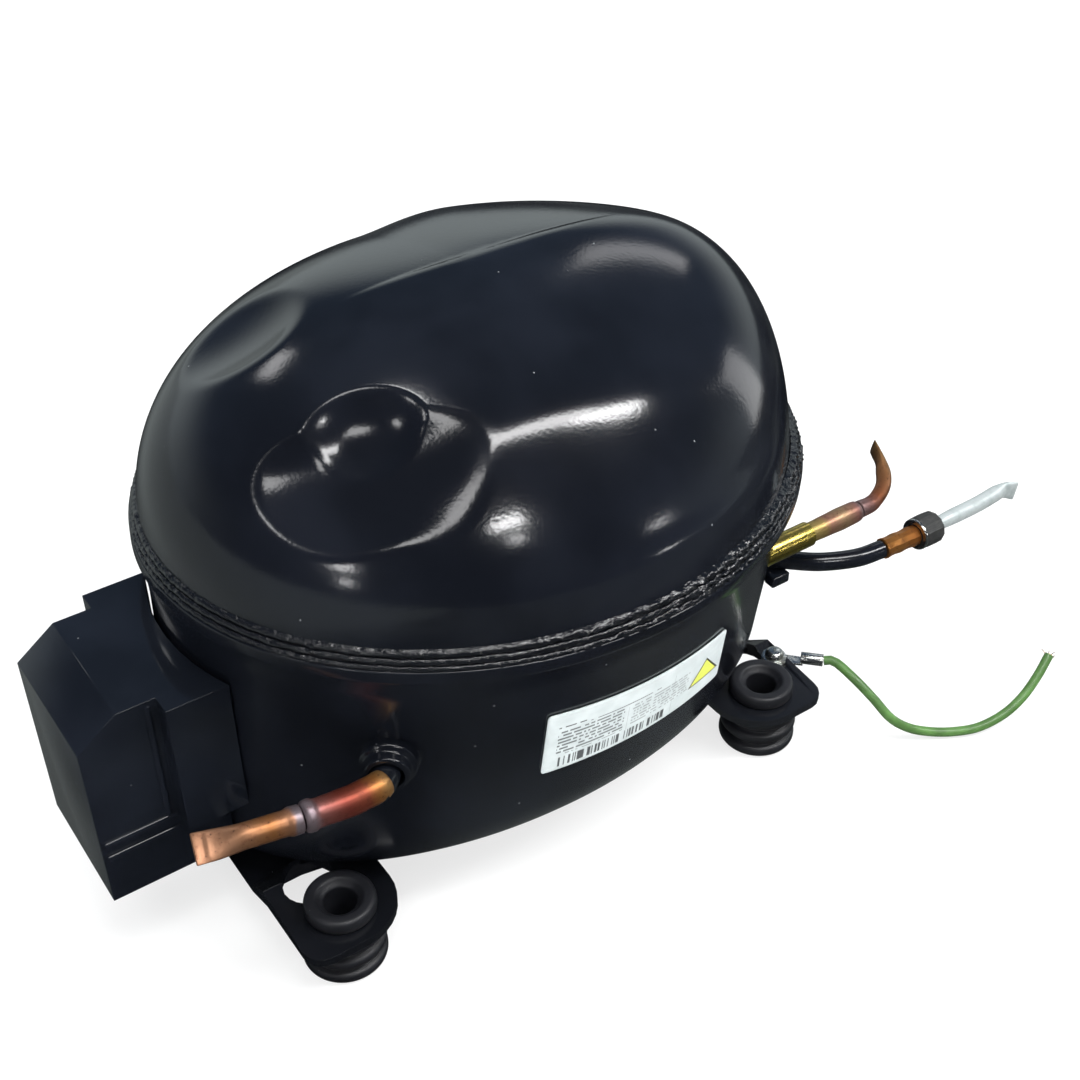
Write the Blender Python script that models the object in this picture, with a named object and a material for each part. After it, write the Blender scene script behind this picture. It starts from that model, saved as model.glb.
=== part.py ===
"""Hermetic reciprocating compressor for a refrigerator, as an assembly of separate solids.

Everything is in metres with +Z up. The shell is built about its own centre line with the grommet
feet standing on Z = 0, and the last step moves the whole assembly so that the middle of its
bounding box, taken at floor level and without the free earth wire, is the origin.
+X runs along the long side, from the terminal cover to the pipe stubs.
"""

import math

import bmesh
import bpy
from mathutils import Matrix, Vector

# Shell: an oval lid welded into the flared rim of a tapering cup.
SEAM_HALF_LENGTH = 0.1042
SEAM_HALF_WIDTH = 0.0929
SEAM_HEIGHT = 0.1249
LID_HEIGHT = 0.0691
LID_POWER_LEFT = 2.05
LID_POWER_RIGHT = 3.25
LID_POWER_SIDE = 1.98
LID_NECK = 0.0024
CUP_BOTTOM = 0.0078
CUP_WIDEN_X = 0.06
CUP_TAPER_Y = 0.335
CUP_BOTTOM_ROUND = 0.0383
SHEET = 0.0028
RIM_FLARE = 0.0028
RIM_DEPTH = 0.0052

# Clearance left between two pieces that touch in the real object.
GAP = 0.0003

# Feet: two plates across the shell, each on two rubber grommets.
FOOT_PITCH_X = 0.170
FOOT_PITCH_Y = 0.1038
PLATE_UNDER = 0.0185
PLATE_SHEET = 0.0030
PLATE_OUTER = 0.0178
PLATE_INNER = 0.0185
PLATE_HALF_SPAN = 0.0675
PLATE_SADDLE = 0.0045
GROMMET_HEIGHT = 0.0270
GROMMET_BORE = 0.00525
GROMMET_COLLAR = 0.0115
GROMMET_NECK = 0.0090
GROMMET_RIB = 0.0135
GROMMET_GROOVE = 0.0116

# Terminal cover at the left end.
COVER_END = 0.1439
COVER_CREASE = 0.1313
COVER_STEP = 0.1195
COVER_TOP = 0.1052
COVER_END_TOP = 0.0960
COVER_UNDER = 0.0353
COVER_LEDGE = 0.0570
COVER_FRONT = 0.0224
COVER_BACK = 0.0241
COVER_WIDE = 0.0070
COVER_WALL = 0.0020

# Pump unit inside the shell.
THROW = 0.0080
SHAFT_RADIUS = 0.0080
PIN_RADIUS = 0.0060
PISTON_RADIUS = 0.0130
BORE_HEIGHT = 0.1380
STATOR_HALF = 0.0500
STATOR_LOW = 0.0400
STATOR_HIGH = 0.0780
ROTOR_RADIUS = 0.0300
SPRING_TOP = 0.0394

# Earth wire.
WIRE_DIAMETER = 0.0034


def clear_scene():
    """Removes whatever the start-up scene holds."""
    for obj in list(bpy.data.objects):
        bpy.data.objects.remove(obj, do_unlink=True)


def finish(name, color, roughness, metallic=0.0):
    """A plain Principled material."""
    mat = bpy.data.materials.new(name)
    mat.use_nodes = True
    shader = mat.node_tree.nodes["Principled BSDF"]
    shader.inputs["Base Color"].default_value = (*color, 1.0)
    shader.inputs["Roughness"].default_value = roughness
    shader.inputs["Metallic"].default_value = metallic
    return mat


def add(name, bm, look, smooth=True):
    """Turns a bmesh into a named object with its own material."""
    bmesh.ops.recalc_face_normals(bm, faces=bm.faces)
    mesh = bpy.data.meshes.new(name)
    bm.to_mesh(mesh)
    bm.free()
    for poly in mesh.polygons:
        poly.use_smooth = smooth
    obj = bpy.data.objects.new(name, mesh)
    bpy.context.scene.collection.objects.link(obj)
    obj.data.materials.append(finish(name, *look))
    return obj


def cut(target, tool, operation="DIFFERENCE"):
    """Applies a Boolean to target as a live modifier, and keeps the tool out of the render."""
    mod = target.modifiers.new("cut_" + tool.name, "BOOLEAN")
    mod.operation = operation
    mod.solver = "EXACT"
    mod.object = tool
    tool.hide_render = True
    tool.display_type = "WIRE"


def frame_along(axis, origin):
    """A matrix whose local Z is the given axis and whose origin is the given point."""
    turn = Vector(axis).normalized().to_track_quat("Z", "Y").to_matrix().to_4x4()
    return Matrix.Translation(Vector(origin)) @ turn


def ring_mesh(rings, start="flat", end="flat", close=False):
    """Joins rings of equal point count by side faces and closes both ends.

    An end may be "flat" (one face), a point (a fan to that point) or None.
    With close=True the last ring is joined to the first instead.
    """
    bm = bmesh.new()
    made = [[bm.verts.new(p) for p in ring] for ring in rings]
    pairs = list(zip(made, made[1:]))
    if close:
        pairs.append((made[-1], made[0]))
    for low, high in pairs:
        count = len(low)
        for i in range(count):
            j = (i + 1) % count
            bm.faces.new((low[i], low[j], high[j], high[i]))
    if not close:
        for ring, kind in ((made[0], start), (made[-1], end)):
            if kind is None:
                continue
            if isinstance(kind, str):
                bm.faces.new(ring)
                continue
            tip = bm.verts.new(kind)
            for i in range(len(ring)):
                bm.faces.new((ring[i], ring[(i + 1) % len(ring)], tip))
    return bm


def lathe(name, profile, look, axis=(0, 0, 1), origin=(0, 0, 0), steps=24, smooth=True):
    """Turns a closed (radius, height) outline about an axis. The outline stays off the axis,
    or starts and ends on it."""
    place = frame_along(axis, origin)
    solid = profile[0][0] < 1e-7 and profile[-1][0] < 1e-7
    body = profile[1:-1] if solid else profile
    rings = []
    for r, z in body:
        ring = []
        for i in range(steps):
            t = 2 * math.pi * i / steps
            ring.append(place @ Vector((r * math.cos(t), r * math.sin(t), z)))
        rings.append(ring)
    if solid:
        start = place @ Vector((0, 0, profile[0][1]))
        end = place @ Vector((0, 0, profile[-1][1]))
        bm = ring_mesh(rings, start, end)
    else:
        bm = ring_mesh(rings, close=True)
    return add(name, bm, look, smooth)


def rod(name, radius, start, end, look, steps=20):
    """A plain round rod between two points."""
    start = Vector(start)
    span = Vector(end) - start
    outline = [(0, 0), (radius, 0), (radius, span.length), (0, span.length)]
    return lathe(name, outline, look, span, start, steps)


def block(name, low, high, look, bevel=0.0):
    """A box between two corners, with its edges broken if asked."""
    bm = bmesh.new()
    bmesh.ops.create_cube(bm, size=1.0)
    low, high = Vector(low), Vector(high)
    size = high - low
    middle = (high + low) / 2
    for v in bm.verts:
        v.co = Vector((v.co.x * size.x, v.co.y * size.y, v.co.z * size.z)) + middle
    if bevel:
        bmesh.ops.bevel(bm, geom=list(bm.edges), offset=bevel, segments=1, affect="EDGES",
                        profile=0.5, material=-1)
    return add(name, bm, look, smooth=False)


def prism(name, outline, low, high, look, hole=None, smooth=False):
    """An outline in X and Y raised from low to high, with one hole if given."""
    bm = bmesh.new()
    loops = [outline] + ([hole] if hole else [])
    levels = []
    for z in (low, high):
        edges = []
        rows = []
        for loop in loops:
            verts = [bm.verts.new((x, y, z)) for x, y in loop]
            rows.append(verts)
            for i in range(len(verts)):
                edges.append(bm.edges.new((verts[i], verts[(i + 1) % len(verts)])))
        bmesh.ops.triangle_fill(bm, use_beauty=True, edges=edges)
        levels.append(rows)
    for lower, upper in zip(levels[0], levels[1]):
        for i in range(len(lower)):
            j = (i + 1) % len(lower)
            bm.faces.new((lower[i], lower[j], upper[j], upper[i]))
    return add(name, bm, look, smooth)


def smooth_route(points, spacing):
    """Points at even spacing on a Catmull-Rom curve through the given route."""
    pts = [Vector(p) for p in points]
    pts = [2 * pts[0] - pts[1]] + pts + [2 * pts[-1] - pts[-2]]
    fine = []
    for a, b, c, d in zip(pts, pts[1:], pts[2:], pts[3:]):
        for i in range(24):
            t = i / 24
            fine.append(0.5 * (2 * b + (c - a) * t + (2 * a - 5 * b + 4 * c - d) * t * t
                               + (3 * b - a - 3 * c + d) * t ** 3))
    fine.append(pts[-2])
    lengths = [0.0]
    for p, q in zip(fine, fine[1:]):
        lengths.append(lengths[-1] + (q - p).length)
    count = max(2, round(lengths[-1] / spacing))
    out = []
    k = 0
    for i in range(count + 1):
        want = lengths[-1] * i / count
        while k < len(fine) - 2 and lengths[k + 1] < want:
            k += 1
        step = lengths[k + 1] - lengths[k]
        out.append(fine[k].lerp(fine[k + 1], (want - lengths[k]) / step if step else 0.0))
    return out


def heading(route, i):
    """The unit direction of a route at one of its points."""
    return (route[min(i + 1, len(route) - 1)] - route[max(i - 1, 0)]).normalized()


def split_route(route, at):
    """Cuts a route in two at a point, with a small gap between the halves."""
    way = heading(route, at)
    first = (route[: at + 1], None, way)
    second = ([route[at] + way * GAP] + route[at + 1:], way, None)
    return first, second


def sweep_rings(route, sizes, steps, first=None, last=None):
    """Rings along a route. Each size is (half width, half height) across the route."""
    rings = []
    side = None
    for i, p in enumerate(route):
        ahead = heading(route, i)
        if i == 0 and first is not None:
            ahead = first
        if i == len(route) - 1 and last is not None:
            ahead = last
        if side is None:
            guess = Vector((0, 0, 1)) if abs(ahead.z) < 0.9 else Vector((1, 0, 0))
            side = ahead.cross(guess)
        side = (side - ahead * side.dot(ahead)).normalized()
        rise = side.cross(ahead)
        wide, tall = sizes[i]
        ring = []
        for k in range(steps):
            t = 2 * math.pi * k / steps
            ring.append(p + side * (wide * math.cos(t)) + rise * (tall * math.sin(t)))
        rings.append(ring)
    return rings


def tube(name, route, radii, look, steps=12, pinch=0.0, wall=0.0, first=None, last_way=None):
    """A pipe along a route, with a radius per point. pinch flattens the far end, and wall makes
    it hollow from its near end up to where it is closed."""
    sizes = []
    last = len(route) - 1
    for i, r in enumerate(radii):
        flat = max(0.0, 1 - (last - i) / 2.0) if pinch else 0.0
        sizes.append((r * (1 + 0.45 * flat * pinch), r * (1 - 0.72 * flat * pinch)))
    outer = sweep_rings(route, sizes, steps, first, last_way)
    if not wall:
        return add(name, ring_mesh(outer), look)
    stop = last - (3 if pinch else 0)
    inner = sweep_rings(route[: stop + 1], [(r - wall, r - wall) for r in radii[: stop + 1]],
                        steps, first, None if pinch else last_way)
    if pinch:
        rings = list(reversed(inner)) + outer
        return add(name, ring_mesh(rings), look)
    return add(name, ring_mesh(list(reversed(inner)) + outer, close=True), look)


def lid_half(k, inset=0.0):
    """Half lengths of the lid towards +X, -X and across, at share k of its height."""
    def fall(power):
        return max(0.0, 1 - k ** power) ** (1 / power)
    length = SEAM_HALF_LENGTH - inset
    return (length * fall(LID_POWER_RIGHT), length * fall(LID_POWER_LEFT),
            (SEAM_HALF_WIDTH - inset) * fall(LID_POWER_SIDE))


def dent(x, y):
    """How far the lid is pressed in at a place in plan."""
    def hollow(cx, cy, rx, ry, turn, depth, power=1.5):
        c, s = math.cos(turn), math.sin(turn)
        u = ((x - cx) * c + (y - cy) * s) / rx
        v = ((y - cy) * c - (x - cx) * s) / ry
        return depth * math.exp(-((u * u + v * v) ** power))
    total = hollow(-0.060, -0.043, 0.021, 0.019, -0.6, 0.0095)
    total += hollow(-0.062, 0.022, 0.016, 0.012, 0.75, 0.0060)
    total += hollow(-0.010, 0.050, 0.050, 0.020, 0.1, 0.0018)
    total += hollow(0.030, -0.090, 0.070, 0.026, 0.0, 0.0025)
    return total


def lid_point(angle, k, inset=0.0):
    """A point of the lid's skin, dents included."""
    right, left, wide = lid_half(k, inset)
    c, s = math.cos(angle), math.sin(angle)
    neck = LID_NECK * (1 - math.exp(-k / 0.05)) * max(0.0, c)
    p = Vector((((right - neck) if c > 0 else left) * c, (wide - neck) * s,
                (LID_HEIGHT - inset) * k))
    depth = dent(p.x, p.y)
    if depth > 1e-6 and p.length > 0:
        p -= p.normalized() * depth
    return p + Vector((0, 0, SEAM_HEIGHT))


def cup_half(z, inset=0.0):
    """Half length and half width of the cup's wall at a height."""
    down = (SEAM_HEIGHT - z) / (SEAM_HEIGHT - CUP_BOTTOM)
    corner = CUP_BOTTOM_ROUND - inset
    above = max(0.0, z - CUP_BOTTOM - inset)
    loss = 0.0
    if above < corner:
        loss = corner * (1 - math.sqrt(max(0.0, 1 - ((corner - above) / corner) ** 2)))
    return (SEAM_HALF_LENGTH * (1 + CUP_WIDEN_X * down) - inset - loss,
            SEAM_HALF_WIDTH * (1 - CUP_TAPER_Y * down) - inset - loss)


def cup_value(p, inset=0.0):
    """Negative inside the cup's skin, positive outside it."""
    if p.z < CUP_BOTTOM + inset:
        return 1.0
    half = cup_half(min(p.z, SEAM_HEIGHT), inset)
    return (p.x / half[0]) ** 2 + (p.y / half[1]) ** 2 - 1


def cup_normal(p):
    """The outward direction of the cup's wall near a point."""
    e = 1e-4
    steps = (Vector((e, 0, 0)), Vector((0, e, 0)), Vector((0, 0, e)))
    return Vector([cup_value(p + d) - cup_value(p - d) for d in steps]).normalized()


def onto_cup(p, way, inset=0.0):
    """The last point inside the cup on the way from p, which starts inside."""
    low, high = 0.0, 0.2
    for _ in range(40):
        middle = (low + high) / 2
        if cup_value(p + way * middle, inset) < 0:
            low = middle
        else:
            high = middle
    return p + way * low


def cup_side(x, z, side=-1):
    """The point of the cup's wall at a place along X and a height."""
    half = cup_half(z)
    return Vector((x, side * half[1] * math.sqrt(max(0.0, 1 - (x / half[0]) ** 2)), z))


def oval(z, half, steps):
    """An oval ring at a height."""
    out = []
    for i in range(steps):
        t = 2 * math.pi * i / steps
        out.append(Vector((half[0] * math.cos(t), half[1] * math.sin(t), z)))
    return out


def cup_solid(name, grow):
    """A closed solid the shape of the cup, grown outwards, to cut other pieces with."""
    levels = [0.128, 0.112, 0.096, 0.080, 0.064, 0.050, 0.040, 0.032, 0.025, 0.019, 0.014, 0.010]
    rings = []
    for z in levels:
        half = cup_half(min(z, SEAM_HEIGHT))
        extra = grow + (RIM_FLARE if z > 0.118 else 0.0)
        rings.append(oval(z, (half[0] + extra, half[1] + extra), 72))
    low = cup_half(CUP_BOTTOM)
    rings.append(oval(CUP_BOTTOM - grow, (low[0] + grow, low[1] + grow), 72))
    return add(name, ring_mesh(rings), ((0.5, 0.5, 0.5), 0.5))


BLACK_PAINT = ((0.012, 0.013, 0.016), 0.16)
RUBBER = ((0.022, 0.023, 0.028), 0.6)
STEEL = ((0.55, 0.55, 0.56), 0.35, 1.0)
DARK_STEEL = ((0.16, 0.16, 0.17), 0.45, 1.0)
CAST_IRON = ((0.20, 0.20, 0.21), 0.6, 1.0)
COPPER = ((0.72, 0.40, 0.25), 0.35, 1.0)
BRASS = ((0.75, 0.62, 0.28), 0.35, 1.0)
ALUMINIUM = ((0.66, 0.68, 0.69), 0.35, 1.0)
BLACK_PLASTIC = ((0.015, 0.016, 0.019), 0.2)
WHITE_PLASTIC = ((0.75, 0.74, 0.70), 0.45)


def build_shell():
    """Upper shell, lower shell, weld bead and label."""
    steps = 44
    shares = [0.0, 0.15, 0.30, 0.45, 0.58, 0.70, 0.80, 0.88, 0.94, 0.985]
    outer = [[lid_point(2 * math.pi * i / steps, k) for i in range(steps)] for k in shares]
    inner = [[lid_point(2 * math.pi * i / steps, k, SHEET) for i in range(steps)] for k in shares]
    lip = SEAM_HEIGHT - RIM_DEPTH + 0.002
    skirt = oval(lip, (SEAM_HALF_LENGTH, SEAM_HALF_WIDTH), steps)
    skirt_in = oval(lip, (SEAM_HALF_LENGTH - SHEET, SEAM_HALF_WIDTH - SHEET), steps)
    rings = list(reversed(inner)) + [skirt_in, skirt] + outer
    bm = ring_mesh(rings, lid_point(0, 0.9999, SHEET), lid_point(0, 0.9999))
    add("upper_shell", bm, BLACK_PAINT)

    heights = [0.1145, 0.090, 0.068, 0.048, 0.036, 0.027, 0.0195, 0.014, 0.0100, 0.0079]
    rim_top = SEAM_HEIGHT + 0.0021
    ledge = lip - GAP
    rings = []
    for z in reversed([h + SHEET for h in heights[1:]]):
        rings.append(oval(z, cup_half(z, SHEET), steps))
    top_in = (SEAM_HALF_LENGTH - SHEET, SEAM_HALF_WIDTH - SHEET)
    rings.append(oval(ledge, top_in, steps))
    seat = (SEAM_HALF_LENGTH + GAP, SEAM_HALF_WIDTH + GAP)
    rings.append(oval(ledge, seat, steps))
    rings.append(oval(rim_top, seat, steps))
    wide = (SEAM_HALF_LENGTH + RIM_FLARE, SEAM_HALF_WIDTH + RIM_FLARE)
    rings.append(oval(rim_top, wide, steps))
    rings.append(oval(SEAM_HEIGHT - 0.0029, wide, steps))
    for z in [0.1185] + heights:
        rings.append(oval(z, cup_half(z), steps))
    bm = ring_mesh(rings, Vector((0, 0, CUP_BOTTOM + SHEET)), Vector((0, 0, CUP_BOTTOM)))
    cup = add("lower_shell", bm, BLACK_PAINT)

    low = rim_top + GAP
    seat = (SEAM_HALF_LENGTH + GAP, SEAM_HALF_WIDTH + GAP)
    rings = []
    for out_by, z in ((0.0, low), (0.0027, low), (0.0022, low + 0.0016), (0.0, low + 0.0026)):
        half = (seat[0] + out_by + 0.0004, seat[1] + out_by + 0.0004)
        rings.append(oval(z, half, steps))
    add("weld_bead", ring_mesh(rings, close=True), BLACK_PAINT)
    return cup


def build_label():
    """A thin sticker following the front of the cup."""
    columns, rows = 12, 3
    low, high, left, right = 0.0625, 0.0950, -0.0280, 0.0430
    skins = []
    for lift in (GAP, GAP + 0.0004):
        skin = []
        for j in range(rows + 1):
            for i in range(columns + 1):
                x = left + (right - left) * i / columns
                z = low + (high - low) * j / rows - 0.004 * i / columns
                p = cup_side(x, z)
                skin.append(p + cup_normal(p) * lift)
        skins.append(skin)
    bm = bmesh.new()
    made = [[bm.verts.new(p) for p in skin] for skin in skins]
    wide = columns + 1
    for skin in made:
        for j in range(rows):
            for i in range(columns):
                a = j * wide + i
                bm.faces.new((skin[a], skin[a + 1], skin[a + wide + 1], skin[a + wide]))
    edge = [i for i in range(columns)] + [j * wide + columns for j in range(rows)]
    edge += [rows * wide + columns - i for i in range(columns)]
    edge += [(rows - j) * wide for j in range(rows)]
    for k in range(len(edge)):
        a, b = edge[k], edge[(k + 1) % len(edge)]
        bm.faces.new((made[0][a], made[0][b], made[1][b], made[1][a]))
    add("rating_label", bm, ((0.80, 0.82, 0.82), 0.4))


def build_feet(parts):
    """Two saddle plates under the shell and four bellows grommets."""
    half_x, half_y = FOOT_PITCH_X / 2, FOOT_PITCH_Y / 2
    skin = cup_solid("cup_for_feet", GAP)
    parts.append(skin)
    for side, name in ((-1, "foot_bracket_left"), (1, "foot_bracket_right")):
        centre = side * half_x
        path = [(-PLATE_HALF_SPAN - 0.004, PLATE_UNDER), (-0.0370, PLATE_UNDER),
                (-0.0260, PLATE_SADDLE), (0.0260, PLATE_SADDLE), (0.0370, PLATE_UNDER),
                (PLATE_HALF_SPAN + 0.004, PLATE_UNDER)]
        bend = PLATE_SHEET
        upper = [(path[0][0], path[0][1] + bend), (-0.0352, PLATE_UNDER + bend),
                 (-0.0242, PLATE_SADDLE + bend), (0.0242, PLATE_SADDLE + bend),
                 (0.0352, PLATE_UNDER + bend), (path[-1][0], path[-1][1] + bend)]
        outline = path + list(reversed(upper))
        near, far = -side * PLATE_INNER, side * PLATE_OUTER
        rings = []
        for x in (centre + near, centre + far):
            rings.append([Vector((x, y, z)) for y, z in outline])
        plate = add(name, ring_mesh(rings), BLACK_PAINT, smooth=False)
        round_in, corner = 0.0175, 0.0070
        trim = []
        for y_side in (1, -1):
            arc = []
            for i in range(9):
                t = math.radians(90 * i / 8)
                arc.append((centre + near - math.copysign(round_in, near) * (1 - math.cos(t)),
                            y_side * (PLATE_HALF_SPAN - round_in + round_in * math.sin(t))))
            for i in range(5):
                t = math.radians(90 * i / 4)
                arc.append((centre + far - math.copysign(corner, far) * (1 - math.sin(t)),
                            y_side * (PLATE_HALF_SPAN - corner + corner * math.cos(t))))
            trim += arc if y_side == 1 else list(reversed(arc))
        tool = prism("trim_" + name, trim, -0.01, 0.04, BLACK_PAINT)
        cut(plate, tool, "INTERSECT")
        parts.append(tool)
        cut(plate, skin)
        for y_side in (-1, 1):
            tools = [rod(f"hole_{name}_{y_side}_a", GROMMET_NECK + GAP,
                         (centre, y_side * half_y, 0.012), (centre, y_side * half_y, 0.030),
                         STEEL, 24),
                     rod(f"hole_{name}_{y_side}_b", 0.0085,
                         (centre + side * 0.0035, y_side * (half_y - 0.0140), 0.012),
                         (centre + side * 0.0035, y_side * (half_y - 0.0140), 0.030), STEEL, 20)]
            for tool in tools:
                cut(plate, tool)
                parts.append(tool)
    names = {(-1, -1): "grommet_front_left", (1, -1): "grommet_front_right",
             (-1, 1): "grommet_rear_left", (1, 1): "grommet_rear_right"}
    under, top = PLATE_UNDER - GAP, PLATE_UNDER + PLATE_SHEET + GAP
    for (sx, sy), name in names.items():
        rib, groove = GROMMET_RIB, GROMMET_GROOVE
        pitch = under / 3
        outline = [(GROMMET_BORE, 0.0), (rib - 0.0008, 0.0)]
        for i in range(3):
            base = pitch * i
            outline.append((rib, base + 0.25 * pitch))
            outline.append((rib, base + 0.65 * pitch))
            if i < 2:
                outline.append((groove, base + pitch))
        outline.append((rib - 0.0006, under))
        outline += [(GROMMET_NECK, under), (GROMMET_NECK, top), (GROMMET_COLLAR, top),
                    (GROMMET_COLLAR, GROMMET_HEIGHT - 0.0016),
                    (GROMMET_COLLAR - 0.0016, GROMMET_HEIGHT),
                    (GROMMET_BORE, GROMMET_HEIGHT)]
        lathe(name, outline, RUBBER, origin=(sx * half_x, sy * half_y, 0), steps=20)


def build_front_pipe(parts, cup):
    """The pipe stub at the front left: a stepped boss, an elbow, a thick sleeve, a thin tail."""
    seat = cup_side(-0.0697, 0.0870)
    out = cup_normal(seat)
    out.z = 0.0
    out.normalize()
    mouth = seat - out * 0.008
    hole = rod("hole_front_pipe", 0.0056, mouth, seat + out * 0.010, STEEL, 20)
    cut(cup, hole)
    parts.append(hole)
    outline = [(0.0056, -0.0040), (0.0086, -0.0040), (0.0086, 0.0042), (0.0068, 0.0048),
               (0.0068, 0.0072), (0.0056, 0.0072)]
    boss = lathe("front_pipe_boss", outline, BLACK_PAINT, out, seat, 24)
    skin = cup_solid("cup_for_boss", GAP)
    cut(boss, skin)
    parts.append(skin)
    full = smooth_route([seat - out * 0.0020, seat + out * 0.0060,
                         seat + out * 0.0105 + Vector((-0.0020, 0, 0)),
                         Vector((-0.0800, -0.0716, 0.0876)), Vector((-0.0880, -0.0716, 0.0876)),
                         Vector((-0.1010, -0.0705, 0.0885)), Vector((-0.1130, -0.0688, 0.0893)),
                         Vector((-0.1220, -0.0668, 0.0892)),
                         Vector((-0.1315, -0.0645, 0.0895))], 0.0046)
    turn = next(i for i, p in enumerate(full) if p.x < -0.0790)
    braze = next(i for i, p in enumerate(full) if p.x < -0.1010)
    elbow, rest = split_route(full, turn)
    sleeve, tail = split_route(rest[0], braze - turn)
    tube("front_pipe_elbow", elbow[0], [0.0048] * len(elbow[0]), BLACK_PAINT, wall=0.0012,
         last_way=elbow[2])
    radii = [0.0043] * (len(sleeve[0]) - 1) + [0.0037]
    tube("front_pipe_sleeve", sleeve[0], radii, COPPER, wall=0.0009, first=elbow[2],
         last_way=sleeve[2])
    tube("front_pipe_tail", tail[0], [0.0034] * len(tail[0]), COPPER, pinch=1.0, wall=0.0008,
         first=tail[1])


def build_right_pipes(parts, cup):
    """The two pipe stubs at the right end."""
    z = 0.0930
    seat = Vector((0.0800, -0.0550, z))
    way = Vector((1, 0, 0))
    hole = rod("hole_pipe_a", 0.0040, (0.066, seat.y, z), (0.098, seat.y, z), STEEL, 16)
    cut(cup, hole)
    parts.append(hole)
    collar = rod("upper_pipe_collar", 0.0046, (0.0700, seat.y, z), (0.0955, seat.y, z), BRASS, 20)
    skin = cup_solid("cup_for_pipes", GAP)
    parts.append(skin)
    cut(collar, skin)
    bore = rod("bore_pipe_a", 0.0037, (0.066, seat.y, z), (0.110, seat.y, z), STEEL, 16)
    cut(collar, bore)
    parts.append(bore)
    full = smooth_route([(0.0760, seat.y, z), (0.0950, seat.y, z), (0.1080, seat.y, z),
                         (0.1215, -0.0545, z), (0.1300, -0.0505, z + 0.0012),
                         (0.1352, -0.0440, z + 0.0035), (0.1380, -0.0360, z + 0.0060)], 0.0050)
    braze = next(i for i, p in enumerate(full) if p.x > 0.1120)
    sleeve, tail = split_route(full, braze)
    radii = [0.0034] * (braze - 1) + [0.0034, 0.0029]
    tube("upper_pipe_sleeve", sleeve[0], radii, COPPER, wall=0.0007, last_way=sleeve[2])
    tube("upper_pipe_tail", tail[0], [0.0026] * len(tail[0]), COPPER, steps=10, pinch=0.9,
         wall=0.0007, first=tail[1])

    z = 0.0750
    base = Vector((0.0860, -0.0385, z))
    way = Vector((0.74, -0.67, 0)).normalized()
    hole = rod("hole_pipe_b", 0.0038, base - way * 0.008, base + way * 0.012, STEEL, 16)
    cut(cup, hole)
    parts.append(hole)
    block_low = block("pipe_support_block", (0.0850, -0.0520, 0.0675), (0.0925, -0.0440, 0.0716),
                      BLACK_PAINT)
    cut(block_low, skin)
    full = smooth_route([base, (0.0937, -0.0460, z), (0.1022, -0.0530, z),
                         (0.1136, -0.0582, z), (0.1250, -0.0597, z), (0.1330, -0.0600, z),
                         (0.1393, -0.0603, z)], 0.0050)
    joint = next(i for i, p in enumerate(full) if p.x > 0.1235)
    line, adaptor = split_route(full, joint)
    tube("lower_pipe_line", line[0], [0.0032] * len(line[0]), BLACK_PAINT, wall=0.0008,
         last_way=line[2])
    way = Vector((1, 0, 0))
    tube("lower_pipe_adaptor", adaptor[0], [0.0038] * len(adaptor[0]), COPPER, wall=0.0012,
         first=adaptor[1], last_way=way)
    nut = adaptor[0][-1] + way * GAP
    outline = [(0.0029, 0), (0.0050, 0), (0.0058, 0.0012), (0.0058, 0.0080), (0.0050, 0.0092),
               (0.0029, 0.0092)]
    lathe("lower_pipe_nut", outline, DARK_STEEL, way, nut, 16)
    route = smooth_route([nut + way * 0.0030, nut + way * 0.0120, (0.1700, -0.0603, z),
                          (0.1830, -0.0598, z + 0.0003), (0.1885, -0.0622, z - 0.0005)], 0.0060)
    tube("lower_pipe_tail", route, [0.0025] * len(route), ALUMINIUM, steps=10, pinch=0.9,
         wall=0.0007)


def cover_outline(grow):
    """Corner points of the terminal cover's three blocks, each grown by the given amount."""
    front, back = -COVER_FRONT - grow, COVER_BACK + grow
    return {
        "nose": ((-COVER_END - grow, front, COVER_UNDER - grow),
                 (-COVER_STEP + 0.006, back, COVER_TOP + grow)),
        "wide": ((-COVER_STEP - grow, front - COVER_WIDE, COVER_LEDGE - grow),
                 (-0.040, back + COVER_WIDE, COVER_TOP + grow)),
        "low": ((-COVER_STEP - grow - 0.0005, front, COVER_UNDER - grow),
                (-0.040, back, COVER_LEDGE + 0.001)),
    }


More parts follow.
